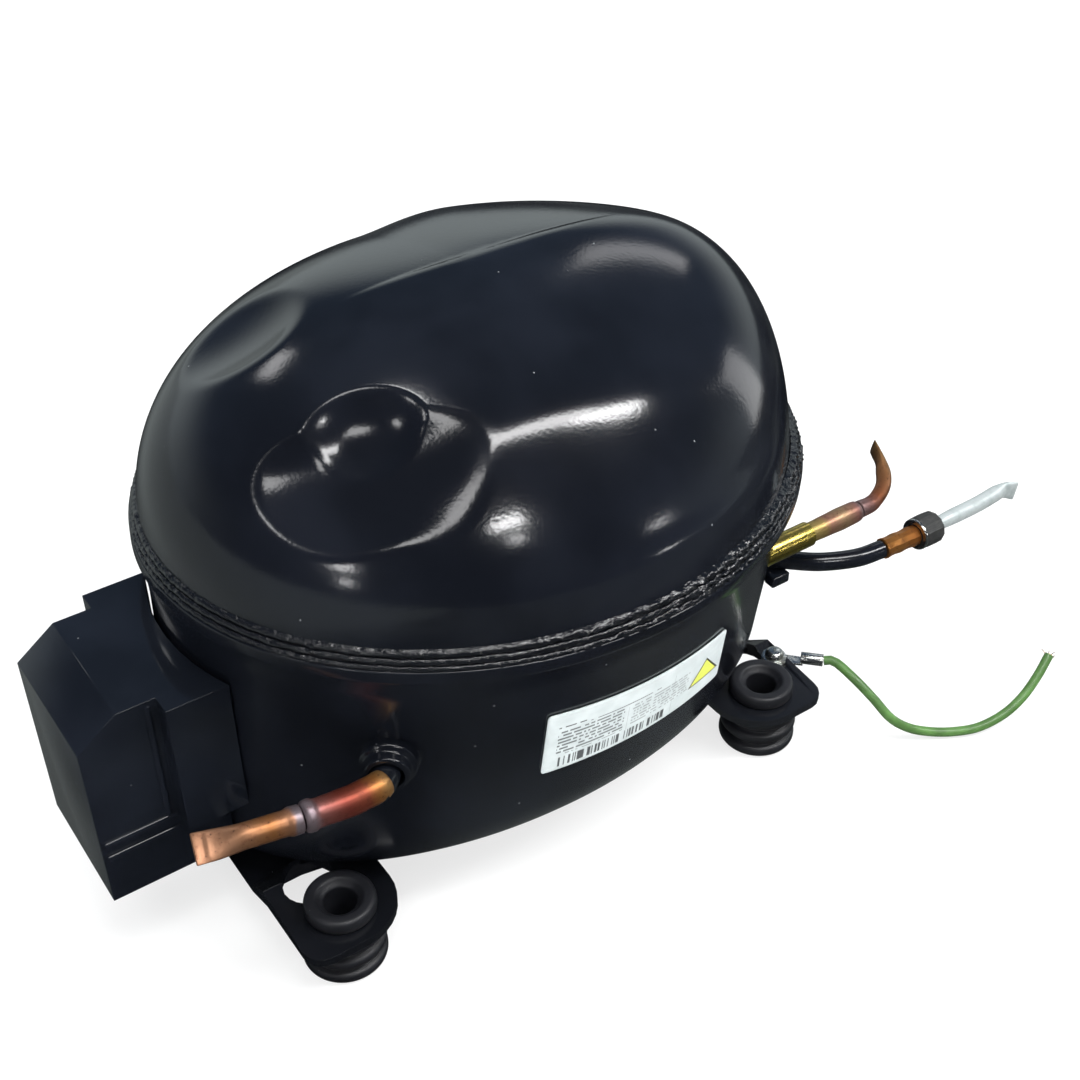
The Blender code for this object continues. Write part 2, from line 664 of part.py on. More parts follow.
def build_cover(parts, cup):
    """Glass terminal, its pins, starter, overload protector, bracket and the cover over them."""
    face = -onto_cup(Vector((0, 0, 0.070)), Vector((1, 0, 0))).x
    hole = rod("hole_terminal", 0.0166, (face - 0.01, 0, 0.070), (face + 0.02, 0, 0.070),
               STEEL, 28)
    cut(cup, hole)
    parts.append(hole)
    outline = [(0, 0.0006), (0.0120, 0.0006), (0.0128, -0.0030), (0.0163, -0.0030),
               (0.0163, -0.0012), (0.0142, 0.0000), (0.0134, 0.0028), (0, 0.0028)]
    terminal = lathe("hermetic_terminal", outline, STEEL, (-1, 0, 0), (face + 0.0020, 0, 0.070),
                     28)
    for i, (y, z) in enumerate(((0.0, 0.0765), (-0.0056, 0.0668), (0.0056, 0.0668))):
        drill = rod(f"hole_pin_{i}", 0.0014, (face - 0.02, y, z), (face + 0.02, y, z), STEEL, 12)
        cut(terminal, drill)
        parts.append(drill)
        rod(f"terminal_pin_{i + 1}", 0.0011, (face - 0.0125, y, z), (face + 0.0100, y, z),
            STEEL, 12)
    starter = block("starter_relay", (-0.1405, -0.0170, 0.0600), (face - 0.0030, 0.0130, 0.0950),
                    WHITE_PLASTIC, 0.0012)
    for i, (y, z) in enumerate(((0.0, 0.0765), (-0.0056, 0.0668), (0.0056, 0.0668))):
        drill = rod(f"socket_{i}", 0.0014, (face - 0.0135, y, z), (face + 0.02, y, z), STEEL, 12)
        cut(starter, drill)
        parts.append(drill)
    outline = [(0, 0), (0.0090, 0), (0.0096, 0.0008), (0.0096, 0.0100), (0.0084, 0.0112), (0, 0.0112)]
    lathe("overload_protector", outline, BLACK_PLASTIC, (-1, 0, 0), (-0.1260, 0.0, 0.0480), 24)
    bracket = block("cover_bracket", (-0.1250, -0.0160, 0.0378), (-0.0900, 0.0160, 0.0390), STEEL)
    skin = cup_solid("cup_for_bracket", GAP)
    cut(bracket, skin)
    parts.append(skin)

    solids = {}
    for tag, grow in (("outer", 0.0), ("inner", -COVER_WALL)):
        for kind, (low, high) in cover_outline(grow).items():
            name = f"cover_{tag}_{kind}"
            body = block(name, low, high, BLACK_PLASTIC)
            if kind == "nose":
                for v in body.data.vertices:
                    if v.co.x < -0.13 and v.co.z > 0.08:
                        v.co.z = COVER_TOP + grow
                slope = COVER_TOP - COVER_END_TOP
                run = COVER_END - COVER_CREASE
                wedge = [(-0.200, COVER_TOP + grow - slope * (0.200 - COVER_CREASE) / run),
                         (-COVER_CREASE, COVER_TOP + grow), (-COVER_CREASE, 0.2), (-0.2, 0.2)]
                rings = [[Vector((x, y, z)) for x, z in wedge] for y in (-0.05, 0.05)]
                tool = add("wedge_" + name, ring_mesh(rings), BLACK_PLASTIC, smooth=False)
                cut(body, tool)
                parts.append(tool)
            solids[tag, kind] = body
    cover = solids["outer", "nose"]
    cut(cover, solids["outer", "wide"], "UNION")
    cut(cover, solids["outer", "low"], "UNION")
    for kind in ("nose", "wide", "low"):
        cut(cover, solids["inner", kind])
    for key, body in solids.items():
        if body is not cover:
            parts.append(body)
    skin = cup_solid("cup_for_cover", 0.0012)
    cut(cover, skin)
    parts.append(skin)
    cover.name = "terminal_cover"
    cover.data.name = "terminal_cover"


def build_earth(parts):
    """Earth screw, ring terminal and the free wire on the right foot plate."""
    top = PLATE_UNDER + PLATE_SHEET
    centre = Vector((0.0993, -0.0428, 0))
    way = Vector((0.70, -0.72, 0)).normalized()
    tool = rod("hole_earth", 0.0023, centre + Vector((0, 0, 0.010)), centre + Vector((0, 0, 0.03)),
               STEEL, 16)
    cut(bpy.data.objects["foot_bracket_right"], tool)
    parts.append(tool)
    outline = [(0, top - 0.0060), (0.0017, top - 0.0060), (0.0017, top + 0.0014),
               (0.0040, top + 0.0014), (0.0040, top + 0.0032), (0.0028, top + 0.0044),
               (0, top + 0.0044)]
    lathe("earth_screw", outline, STEEL, origin=centre, steps=20)
    turn = math.atan2(way.y, way.x)
    flat = []
    for i in range(15):
        t = turn + math.radians(28 + 304 * i / 14)
        flat.append((centre.x + 0.0046 * math.cos(t), centre.y + 0.0046 * math.sin(t)))
    cross = Vector((-way.y, way.x, 0))
    for along, out in ((0.0105, -0.0020), (0.0105, 0.0020)):
        p = centre + way * along + cross * out
        flat.append((p.x, p.y))
    ring = prism("earth_ring_terminal", flat, top + GAP, top + GAP + 0.0008, STEEL)
    drill = rod("hole_ring", 0.0021, centre, centre + Vector((0, 0, 0.04)), STEEL, 16)
    cut(ring, drill)
    barrel = rod("barrel_ring", 0.0022, centre + way * 0.0095 + Vector((0, 0, top + 0.0024)),
                 centre + way * 0.0175 + Vector((0, 0, top + 0.0024)), STEEL, 14)
    cut(ring, barrel, "UNION")
    parts += [drill, barrel]
    start = centre + way * (0.0175 + GAP) + Vector((0, 0, top + 0.0024))
    route = [start, start + way * 0.004 + Vector((0, 0, 0.0001)),
             (0.1163, -0.0675, 0.0212), (0.1191, -0.0750, 0.0160), (0.1222, -0.0815, 0.0100),
             (0.1281, -0.0858, 0.0052), (0.1353, -0.0900, 0.0027), (0.1428, -0.0944, 0.0021),
             (0.1514, -0.0982, 0.0026), (0.1618, -0.1001, 0.0048), (0.1708, -0.1001, 0.0085),
             (0.1788, -0.0988, 0.0135), (0.1865, -0.0965, 0.0185)]
    points = smooth_route(route, 0.0042)
    curve = bpy.data.curves.new("earth_wire", "CURVE")
    curve.dimensions = "3D"
    curve.bevel_depth = WIRE_DIAMETER / 2
    curve.bevel_resolution = 2
    curve.use_fill_caps = True
    spline = curve.splines.new("POLY")
    spline.points.add(len(points) - 1)
    for target, p in zip(spline.points, points):
        target.co = (*p, 1.0)
    wire = bpy.data.objects.new("earth_wire", curve)
    bpy.context.scene.collection.objects.link(wire)
    curve.materials.append(finish("earth_wire", (0.16, 0.42, 0.08), 0.4))
    return wire


def floor_inside(x, y):
    """The height of the cup's inner skin under a place."""
    low, high = CUP_BOTTOM + SHEET, SEAM_HEIGHT
    for _ in range(40):
        middle = (low + high) / 2
        if cup_value(Vector((x, y, middle)), SHEET) < 0:
            high = middle
        else:
            low = middle
    return high


def build_suspension():
    """Four pegs on the shell's floor and the four coil springs that stand on them."""
    spots = {"front_left": (-0.044, -0.028), "front_right": (0.044, -0.028),
             "rear_left": (-0.044, 0.028), "rear_right": (0.044, 0.028)}
    for tag, (x, y) in spots.items():
        steps = 16
        rings = []
        for r in (0.0070, 0.0070):
            ring = []
            for i in range(steps):
                t = 2 * math.pi * i / steps
                px, py = x + r * math.cos(t), y + r * math.sin(t)
                z = floor_inside(px, py) + 3 * GAP if not rings else 0.0180
                ring.append(Vector((px, py, z)))
            rings.append(ring)
        for r, z in ((0.0036, 0.0180), (0.0036, 0.0250), (0.0026, 0.0262)):
            rings.append([Vector((x + r * math.cos(2 * math.pi * i / steps),
                                  y + r * math.sin(2 * math.pi * i / steps), z))
                          for i in range(steps)])
        low = Vector((x, y, floor_inside(x, y) + 3 * GAP))
        add("spring_peg_" + tag, ring_mesh(rings, low, Vector((x, y, 0.0262))), DARK_STEEL)
        turns, per_turn, wire = 4.5, 9, 0.0009
        low_z, high_z = 0.0180 + GAP + wire, SPRING_TOP - wire
        count = int(turns * per_turn)
        route = []
        for i in range(count + 1):
            t = 2 * math.pi * i / per_turn
            share = i / count
            route.append(Vector((x + 0.0055 * math.cos(t), y + 0.0055 * math.sin(t),
                                 low_z + (high_z - low_z) * share)))
        rings = sweep_rings(route, [(wire, wire)] * len(route), 5)
        add("spring_" + tag, ring_mesh(rings), STEEL)


def build_motor():
    """Stator stack, its two windings and the rotor."""
    half, corner = STATOR_HALF, 0.012
    outline = []
    for sx, sy, start in ((1, 1, 0), (-1, 1, 90), (-1, -1, 180), (1, -1, 270)):
        for i in range(4):
            t = math.radians(start + 30 * i)
            outline.append((sx * (half - corner) + corner * math.cos(t),
                            sy * (half - corner) + corner * math.sin(t)))
    hole = []
    inner, deep = ROTOR_RADIUS + 0.0006, 0.0390
    for i in range(12):
        base = 2 * math.pi * i / 12
        for r, t in ((inner, -0.20), (inner, -0.04), (deep, -0.14), (deep, 0.14), (inner, 0.04),
                     (inner, 0.20)):
            hole.append((r * math.cos(base + t), r * math.sin(base + t)))
    prism("stator_core", outline, STATOR_LOW, STATOR_HIGH, CAST_IRON, hole)
    for name, low, high in (("stator_winding_lower", 0.0250, STATOR_LOW - GAP),
                            ("stator_winding_upper", STATOR_HIGH + GAP, 0.0930)):
        outline = [(0.0325, low + 0.003), (0.0360, low), (0.0410, low), (0.0435, low + 0.004),
                   (0.0435, high - 0.004), (0.0410, high), (0.0360, high), (0.0325, high - 0.003)]
        lathe(name, outline, COPPER, steps=20)
    shaft = SHAFT_RADIUS + GAP
    outline = [(shaft, 0.0380), (0.0285, 0.0380), (ROTOR_RADIUS, 0.0395), (ROTOR_RADIUS, 0.0790),
               (0.0285, 0.0800), (shaft, 0.0800)]
    lathe("rotor_core", outline, ALUMINIUM, steps=28)


def build_pump():
    """Crankcase, crankshaft, yoke drive, valve plate, head and mufflers."""
    parts = []
    frame = block("crankcase", (-0.0480, -0.0460, 0.0980), (0.0660, 0.0460, 0.1080), CAST_IRON)
    pieces = [block("pump_cylinder", (0.0260, -0.0220, 0.1070), (0.0660, 0.0220, 0.1580),
                    CAST_IRON, 0.002),
              rod("pump_hub", 0.0160, (0, 0, 0.0840), (0, 0, 0.1150), CAST_IRON, 24)]
    for sx in (-1, 1):
        for sy in (-1, 1):
            x, y = sx * 0.0410, sy * 0.0410
            pieces.append(rod(f"pump_leg_{sx}_{sy}", 0.0052, (x, y, STATOR_HIGH + GAP),
                              (x, y, 0.1000), CAST_IRON, 12))
    for piece in pieces:
        cut(frame, piece, "UNION")
    tools = [rod("bore_hub", SHAFT_RADIUS + GAP, (0, 0, 0.07), (0, 0, 0.13), STEEL, 32),
             rod("bore_cylinder", PISTON_RADIUS + GAP, (0.0, 0, BORE_HEIGHT),
                 (0.09, 0, BORE_HEIGHT), STEEL, 32)]
    for tool in tools:
        cut(frame, tool)
    parts += pieces + tools

    r, web = SHAFT_RADIUS, 0.1155
    shaft = lathe("crankshaft", [(0, 0.0240), (r, 0.0240), (r, web), (0.0150, web),
                                 (0.0150, web + 0.0105), (0, web + 0.0105)], STEEL, steps=32)
    weight = []
    for i in range(13):
        t = math.radians(180 + 15 * i)
        weight.append((0.0235 * math.cos(t), 0.0235 * math.sin(t)))
    lump = prism("crank_weight", weight, web + 0.0003, web + 0.0102, STEEL)
    pin = rod("crank_pin", PIN_RADIUS, (0, THROW, web + 0.009), (0, THROW, 0.1480), STEEL, 24)
    cut(shaft, lump, "UNION")
    cut(shaft, pin, "UNION")
    gallery = rod("oil_gallery", 0.0015, (0, THROW / 2, 0.1400), (0, THROW / 2, 0.1600), STEEL, 12)
    cut(shaft, gallery)
    parts += [lump, pin, gallery]
    rod("oil_plug", 0.0012, (0, THROW / 2, 0.1410), (0, THROW / 2, 0.1478), BRASS, 12)
    lathe("oil_pickup", [(0.0020, 0.0135), (0.0030, 0.0135), (0.0052, 0.0200), (0.0052, 0.0237),
                         (0.0040, 0.0237), (0.0040, 0.0203)], STEEL, steps=16)

    slide = block("slide_block", (-0.0090, THROW - 0.0110, 0.1302), (0.0090, THROW + 0.0110, 0.1458),
                  BRASS, 0.0006)
    eye = rod("slide_eye", PIN_RADIUS + GAP, (0, THROW, 0.120), (0, THROW, 0.160), STEEL, 24)
    cut(slide, eye)
    parts.append(eye)
    yoke = block("piston_yoke", (-0.0140, -0.0240, 0.1300), (0.0140, 0.0240, 0.1460), STEEL, 0.001)
    neck = rod("yoke_neck", 0.0065, (0.0120, 0, BORE_HEIGHT), (0.0340, 0, BORE_HEIGHT), STEEL, 20)
    head = lathe("piston_head", [(0, 0.0320), (PISTON_RADIUS - 0.0008, 0.0320),
                                 (PISTON_RADIUS, 0.0328), (PISTON_RADIUS, 0.0552),
                                 (PISTON_RADIUS - 0.0008, 0.0560), (0, 0.0560)], STEEL, (1, 0, 0),
                 (0, 0, BORE_HEIGHT), 32)
    slot = block("yoke_slot", (-0.0093, -0.0193, 0.1200), (0.0093, 0.0193, 0.1600), STEEL)
    cut(yoke, neck, "UNION")
    cut(yoke, head, "UNION")
    cut(yoke, slot)
    parts += [neck, head, slot]

    side = 0.0220
    valve = block("valve_plate", (0.0660 + GAP, -side, 0.1180), (0.0690, side, 0.1580), STEEL)
    for y in (-0.0060, 0.0060):
        tool = rod(f"port_{y}", 0.0026, (0.060, y, BORE_HEIGHT), (0.075, y, BORE_HEIGHT), STEEL, 12)
        cut(valve, tool)
        parts.append(tool)
    head = block("cylinder_head", (0.0690 + GAP, -side, 0.1180), (0.0810, side, 0.1580), CAST_IRON,
                 0.002)
    for i, (low, high) in enumerate(((-0.0180, -0.0015), (0.0015, 0.0180))):
        tool = block(f"head_room_{i}", (0.0680, low, 0.1250), (0.0780, high, 0.1510), STEEL)
        cut(head, tool)
        parts.append(tool)
    inlet = rod("head_inlet", 0.0031, (0.0750, -0.030, BORE_HEIGHT), (0.0750, -0.010, BORE_HEIGHT),
                STEEL, 14)
    cut(head, inlet)
    outlet = rod("head_outlet", 0.0024, (0.0750, 0.030, BORE_HEIGHT), (0.0750, 0.010, BORE_HEIGHT),
                 STEEL, 14)
    cut(head, outlet)
    parts += [inlet, outlet]
    box = block("suction_muffler", (0.0300, -0.0560, 0.1200), (0.0640, -0.0260, 0.1550),
                WHITE_PLASTIC, 0.0014)
    room = block("muffler_room", (0.0316, -0.0544, 0.1216), (0.0624, -0.0276, 0.1534),
                 WHITE_PLASTIC)
    mouth = rod("muffler_mouth", 0.0040, (0.0470, -0.041, 0.148), (0.0470, -0.041, 0.165), STEEL,
                16)
    cut(box, room)
    cut(box, mouth)
    parts += [room, mouth]
    route = smooth_route([(0.0640 + GAP, -0.0380, BORE_HEIGHT), (0.0700, -0.0380, BORE_HEIGHT),
                          (0.0750, -0.0340, BORE_HEIGHT), (0.0750, -0.0250, BORE_HEIGHT),
                          (0.0750, -0.0195, BORE_HEIGHT)], 0.0040)
    tube("suction_pipe", route, [0.0028] * len(route), WHITE_PLASTIC, steps=10, wall=0.0007)
    route = smooth_route([(0.0750, 0.0195, BORE_HEIGHT), (0.0750, 0.0330, BORE_HEIGHT),
                          (0.0640, 0.0500, 0.1330), (0.0350, 0.0590, 0.1250),
                          (-0.0100, 0.0610, 0.1180), (-0.0520, 0.0540, 0.1120),
                          (-0.0730, 0.0250, 0.1060), (-0.0780, -0.0150, 0.1000),
                          (-0.0680, -0.0460, 0.0930), (-0.0640, -0.0540, 0.0880)], 0.0110)
    tube("discharge_loop", route, [0.0020] * len(route), COPPER, steps=8)
    outline = [(0, 0), (0.0110, 0), (0.0128, 0.002), (0.0128, 0.0180), (0.0110, 0.0200),
               (0, 0.0200)]
    lathe("discharge_muffler", outline, STEEL, origin=(-0.0330, 0.0310, 0.1080 + GAP), steps=16)
    return parts


def place_in_frame(wire):
    """Moves everything so that the middle of the bounding box at floor level is the origin."""
    bpy.context.view_layer.update()
    graph = bpy.context.evaluated_depsgraph_get()
    low = Vector((1, 1, 1))
    high = Vector((-1, -1, -1))
    shown = [o for o in bpy.data.objects if o.type == "MESH" and not o.hide_render]
    for obj in shown:
        mesh = obj.evaluated_get(graph).to_mesh()
        for v in mesh.vertices:
            p = obj.matrix_world @ v.co
            for i in range(3):
                low[i] = min(low[i], p[i])
                high[i] = max(high[i], p[i])
        obj.evaluated_get(graph).to_mesh_clear()
    shift = Vector((-(low.x + high.x) / 2, -(low.y + high.y) / 2, -low.z))
    root = bpy.data.objects.new("assembly", None)
    bpy.context.scene.collection.objects.link(root)
    for obj in list(bpy.data.objects):
        if obj is not root:
            obj.parent = root
    root.location = shift
    bpy.context.view_layer.update()
    print("frame shift", [round(v, 6) for v in shift])


def main():
    clear_scene()
    tools = []
    cup = build_shell()
    build_label()
    build_feet(tools)
    build_front_pipe(tools, cup)
    build_right_pipes(tools, cup)
    build_cover(tools, cup)
    wire = build_earth(tools)
    build_suspension()
    build_motor()
    tools += build_pump()
    for tool in tools:
        tool.hide_render = True
        tool.display_type = "WIRE"
    place_in_frame(wire)


main()
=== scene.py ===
"""Looks of a hermetic refrigerator compressor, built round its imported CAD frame.

The visible sub-assemblies are classes: the pressed shell with its weld, the rating label, the foot
plates and grommets, the pipe stubs, the terminal cover and the earth lead. Each class holds its
sizes as fields, builds its meshes about the shell's own centre line, and dresses them. Everything
is in metres, in the frame of the CAD model.
"""

import logging
import math
from dataclasses import dataclass, field
from enum import Enum
from typing import Callable, Iterable, Sequence

import bmesh
import bpy
from mathutils import Matrix, Vector, noise


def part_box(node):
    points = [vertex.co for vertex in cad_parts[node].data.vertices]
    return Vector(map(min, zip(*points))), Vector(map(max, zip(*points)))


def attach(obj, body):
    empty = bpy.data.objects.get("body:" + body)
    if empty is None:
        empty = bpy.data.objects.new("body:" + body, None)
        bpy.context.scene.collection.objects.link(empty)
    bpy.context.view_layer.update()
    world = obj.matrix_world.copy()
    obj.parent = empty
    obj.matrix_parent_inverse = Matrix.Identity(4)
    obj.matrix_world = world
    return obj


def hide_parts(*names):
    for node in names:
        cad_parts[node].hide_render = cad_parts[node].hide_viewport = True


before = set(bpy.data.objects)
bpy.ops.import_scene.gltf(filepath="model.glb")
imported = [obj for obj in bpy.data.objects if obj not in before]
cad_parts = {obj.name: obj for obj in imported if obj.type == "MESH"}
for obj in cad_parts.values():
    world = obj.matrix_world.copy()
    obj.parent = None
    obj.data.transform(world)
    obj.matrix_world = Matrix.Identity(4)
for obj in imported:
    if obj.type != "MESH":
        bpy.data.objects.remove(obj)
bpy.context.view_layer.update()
LOG = logging.getLogger("compressor")

_shell_low, _shell_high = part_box("lower_shell")
AXIS_X = (_shell_low.x + _shell_high.x) / 2

Point = tuple[float, float, float]
Colour = tuple[float, float, float]
Stops = tuple[tuple[float, float], ...]
UP = Vector((0, 0, 1))


def smooth(t: float) -> float:
    """Ease from 0 to 1 as t goes from 0 to 1, flat at both ends."""
    t = min(1.0, max(0.0, t))
    return t * t * (3 - 2 * t)


def mix(a: float, b: float, t: float) -> float:
    """The value a share t of the way from a to b."""
    return a + (b - a) * t


def soft_min(a: float, b: float, width: float) -> float:
    """The lower of two heights, with the crease between them rounded.

    Args:
        a: One height.
        b: The other height.
        width: How far apart the two are where the rounding starts.

    Returns:
        The rounded minimum.
    """
    near = max(width - abs(a - b), 0.0) / width
    return min(a, b) - near * near * width / 4


# ---------------------------------------------------------------- shader maths


class Value:
    """A number in a shader graph, with Python operators that add Math nodes."""

    def __init__(self, shader: "Shader", socket: bpy.types.NodeSocket) -> None:
        """Wrap an output socket of a shader's node."""
        self.shader = shader
        self.socket = socket

    def _with(self, operation: str, *others: "Value | float") -> "Value":
        """Add a Math node that takes this value first."""
        return self.shader.math(operation, self, *others)

    def __add__(self, other: "Value | float") -> "Value":
        """Sum."""
        return self._with("ADD", other)

    __radd__ = __add__

    def __sub__(self, other: "Value | float") -> "Value":
        """Difference."""
        return self._with("SUBTRACT", other)

    def __rsub__(self, other: float) -> "Value":
        """Difference from a plain number."""
        return self.shader.math("SUBTRACT", other, self)

    def __mul__(self, other: "Value | float") -> "Value":
        """Product."""
        return self._with("MULTIPLY", other)

    __rmul__ = __mul__

    def __truediv__(self, other: "Value | float") -> "Value":
        """Quotient."""
        return self._with("DIVIDE", other)

    def __gt__(self, other: "Value | float") -> "Value":
        """1 where this value is the larger one."""
        return self._with("GREATER_THAN", other)

    def __lt__(self, other: "Value | float") -> "Value":
        """1 where this value is the smaller one."""
        return self._with("LESS_THAN", other)

    def __abs__(self) -> "Value":
        """Magnitude."""
        return self._with("ABSOLUTE")

    def floor(self) -> "Value":
        """Whole part."""
        return self._with("FLOOR")

    def fraction(self) -> "Value":
        """Part after the decimal point."""
        return self._with("FRACT")

    def sine(self) -> "Value":
        """Sine of this angle in radians."""
        return self._with("SINE")

    def larger(self, other: "Value | float") -> "Value":
        """The larger of two values."""
        return self._with("MAXIMUM", other)

    def ramp(self, low: float, high: float) -> "Value":
        """Ease from 0 at low to 1 at high.

        Args:
            low: Where the ramp starts.
            high: Where it ends; the ramp falls if this is lower.

        Returns:
            The ramp.
        """
        return self.shader.node(
            "ShaderNodeMapRange", {"interpolation_type": "SMOOTHSTEP"},
            {"Value": self, "From Min": low, "From Max": high},
        )

    def band(self, low: float, high: float) -> "Value":
        """1 between two bounds and 0 outside them."""
        return (self > low) * (self < high)


class Shader:
    """A material under construction, with one method that adds any node."""

    def __init__(self, name: str, world: bpy.types.World | None = None) -> None:
        """Start an empty material, or an empty world.

        Args:
            name: The material's name.
            world: The world whose nodes are wanted in place of a material's.
        """
        self.material = world or bpy.data.materials.new(name)
        self.material.use_nodes = True
        self.tree = self.material.node_tree
        self.tree.nodes.clear()
        self._coordinates: dict[str, Value] = {}

    def node(self, kind: str, settings: dict | None = None, inputs: dict | None = None,
             output: int | str = 0) -> Value:
        """Add a node, set it up and link it.

        Args:
            kind: The node's type.
            settings: Attributes, set before the sockets; "stops" fills a colour ramp.
            inputs: Socket name or index to a value, a colour or a link.
            output: The name or index of the output that is wanted.

        Returns:
            The wanted output.
        """
        made = self.tree.nodes.new(kind)
        for key, setting in (settings or {}).items():
            if key == "stops":
                self._fill_ramp(made.color_ramp, setting)
            else:
                setattr(made, key, setting)
        for key, given in (inputs or {}).items():
            socket = made.inputs[key]
            if isinstance(given, Value):
                self.tree.links.new(given.socket, socket)
            else:
                socket.default_value = given
        return Value(self, made.outputs[output])

    @staticmethod
    def _fill_ramp(ramp: bpy.types.ColorRamp, stops: Sequence[tuple[float, Colour]]) -> None:
        """Give a colour ramp its stops.

        Args:
            ramp: The ramp.
            stops: Places from 0 to 1 and their colours.
        """
        while len(ramp.elements) < len(stops):
            ramp.elements.new(0.5)
        for element, (place, colour) in zip(ramp.elements, stops):
            element.position = place
            element.color = (*colour, 1.0)

    def math(self, operation: str, *values: "Value | float") -> Value:
        """Add a Math node on plain or linked numbers."""
        return self.node("ShaderNodeMath", {"operation": operation}, dict(enumerate(values)))

    def mix(self, factor: "Value | float", low: "Value | Colour", high: "Value | Colour") -> Value:
        """Blend two colours.

        Args:
            factor: 0 for the first colour, 1 for the second.
            low: The first colour.
            high: The second colour.

        Returns:
            The blended colour.
        """
        made = self.tree.nodes.new("ShaderNodeMix")
        made.data_type = "RGBA"
        for index, given in ((0, factor), (6, low), (7, high)):
            if isinstance(given, Value):
                self.tree.links.new(given.socket, made.inputs[index])
            elif index:
                made.inputs[index].default_value = (*given, 1.0)
            else:
                made.inputs[index].default_value = given
        return Value(self, made.outputs[2])

    def place(self, output: str = "Object") -> Value:
        """The piece's Object or UV coordinates.

        Args:
            output: "Object", "UV", or "Generated" for a world.

        Returns:
            The coordinates.
        """
        if output not in self._coordinates:
            self._coordinates[output] = self.node("ShaderNodeTexCoord", output=output)
        return self._coordinates[output]

    def axes(self, output: str = "Object") -> tuple[Value, Value, Value]:
        """The coordinates as three numbers.

        Args:
            output: Which coordinates are wanted.

        Returns:
            X, Y and Z.
        """
        split = self.tree.nodes.new("ShaderNodeSeparateXYZ")
        self.tree.links.new(self.place(output).socket, split.inputs[0])
        return tuple(Value(self, socket) for socket in split.outputs)

    def noise(self, size: float, detail: float = 2.0, roughness: float = 0.5,
              stretch: Point = (1, 1, 1)) -> Value:
        """Cloudy noise with grains of about a size in metres.

        Args:
            size: The grain.
            detail: How many finer layers are added.
            roughness: How strong the finer layers are.
            stretch: The scale of the coordinates on each axis.

        Returns:
            The noise, from 0 to 1.
        """
        where = self.place()
        if stretch != (1, 1, 1):
            where = self.node("ShaderNodeMapping", inputs={"Vector": where, "Scale": stretch})
        return self.node("ShaderNodeTexNoise", inputs={
            "Vector": where, "Scale": 1 / size, "Detail": detail, "Roughness": roughness})

    def cells(self, size: float, feature: str = "F1") -> Value:
        """Distance to the nearest of scattered points, spaced by about a size in metres.

        Args:
            size: The spacing.
            feature: Which distance is wanted.

        Returns:
            The distance, in spacings.
        """
        return self.node("ShaderNodeTexVoronoi", {"feature": feature},
                         {"Vector": self.place(), "Scale": 1 / size}, output="Distance")

    def random(self, a: Value, b: "Value | float" = 0.0) -> Value:
        """A random number for each pair of whole numbers.

        Args:
            a: The first number.
            b: The second.

        Returns:
            The random number, from 0 to 1.
        """
        where = self.node("ShaderNodeCombineXYZ", inputs={0: a, 1: b, 2: 0.5})
        return self.node("ShaderNodeTexWhiteNoise", {"noise_dimensions": "3D"},
                         {"Vector": where})

    def bump(self, height: Value, strength: float, distance: float,
             under: Value | None = None) -> Value:
        """Turn a height into a normal.

        Args:
            height: The height, from about 0 to 1.
            strength: How much of the bump is used.
            distance: The height's scale in metres.
            under: Another bump that this one lies on.

        Returns:
            The normal.
        """
        inputs = {"Strength": strength, "Distance": distance, "Height": height}
        if under is not None:
            inputs["Normal"] = under
        return self.node("ShaderNodeBump", inputs=inputs)

    def finish(self, **sockets: "Value | float | Colour") -> bpy.types.Material:
        """Close the material with a Principled BSDF.

        Args:
            **sockets: Socket names, with _ for a space, to a value, colour or link.

        Returns:
            The finished material.
        """
        principled = self.tree.nodes.new("ShaderNodeBsdfPrincipled")
        out = self.tree.nodes.new("ShaderNodeOutputMaterial")
        for key, given in sockets.items():
            socket = principled.inputs[key.replace("_", " ")]
            if isinstance(given, Value):
                self.tree.links.new(given.socket, socket)
            elif isinstance(given, tuple):
                socket.default_value = (*given, 1.0)
            else:
                socket.default_value = given
        self.tree.links.new(principled.outputs[0], out.inputs[0])
        return self.material


# ---------------------------------------------------------------------- finishes


@dataclass(frozen=True)
class Enamel:
    """Stoved gloss black enamel on pressed steel: orange peel and dust nibs."""

    name: str
    tint: Colour = (0.0035, 0.0042, 0.0062)
    gloss: float = 0.11
    peel: float = 0.5
    dust: float = 1.0

    def build(self) -> bpy.types.Material:
        """Make the material."""
        s = Shader(self.name)
        cloud = s.noise(0.035, 3.0)
        nibs = s.cells(0.0062)
        dot = 1 - nibs.ramp(0.030, 0.055)
        few = s.noise(0.009, 0.0).ramp(0.56, 0.60)
        speck = dot * few * self.dust
        base = s.mix(cloud.ramp(0.35, 0.7), self.tint, tuple(1.7 * c for c in self.tint))
        base = s.mix(speck * 0.5, base, (0.30, 0.32, 0.33))
        rough = cloud * 0.05 + self.gloss + speck * 0.3
        peel = s.noise(0.0011, 1.0)
        grain = s.noise(0.00042, 0.0)
        normal = s.bump(peel, self.peel, 0.00004)
        normal = s.bump(grain, 0.5 * self.peel, 0.000012, normal)
        normal = s.bump(speck, 0.6, 0.0001, normal)
        return s.finish(Base_Color=base, Roughness=rough, Normal=normal, IOR=1.5)


@dataclass(frozen=True)
class WeldEnamel:
    """The same enamel over a rippled, spattered weld."""

    name: str

    def build(self) -> bpy.types.Material:
        """Make the material."""
        s = Shader(self.name)
        ripple = s.noise(0.0016, 3.0, 0.6)
        spatter = s.cells(0.0021)
        height = ripple * 0.7 + spatter * 0.5
        normal = s.bump(height, 0.9, 0.0006)
        base = s.mix(ripple.ramp(0.62, 0.75), (0.004, 0.0045, 0.006), (0.03, 0.03, 0.028))
        return s.finish(Base_Color=base, Roughness=0.07 + ripple * 0.1, Normal=normal, IOR=1.6)


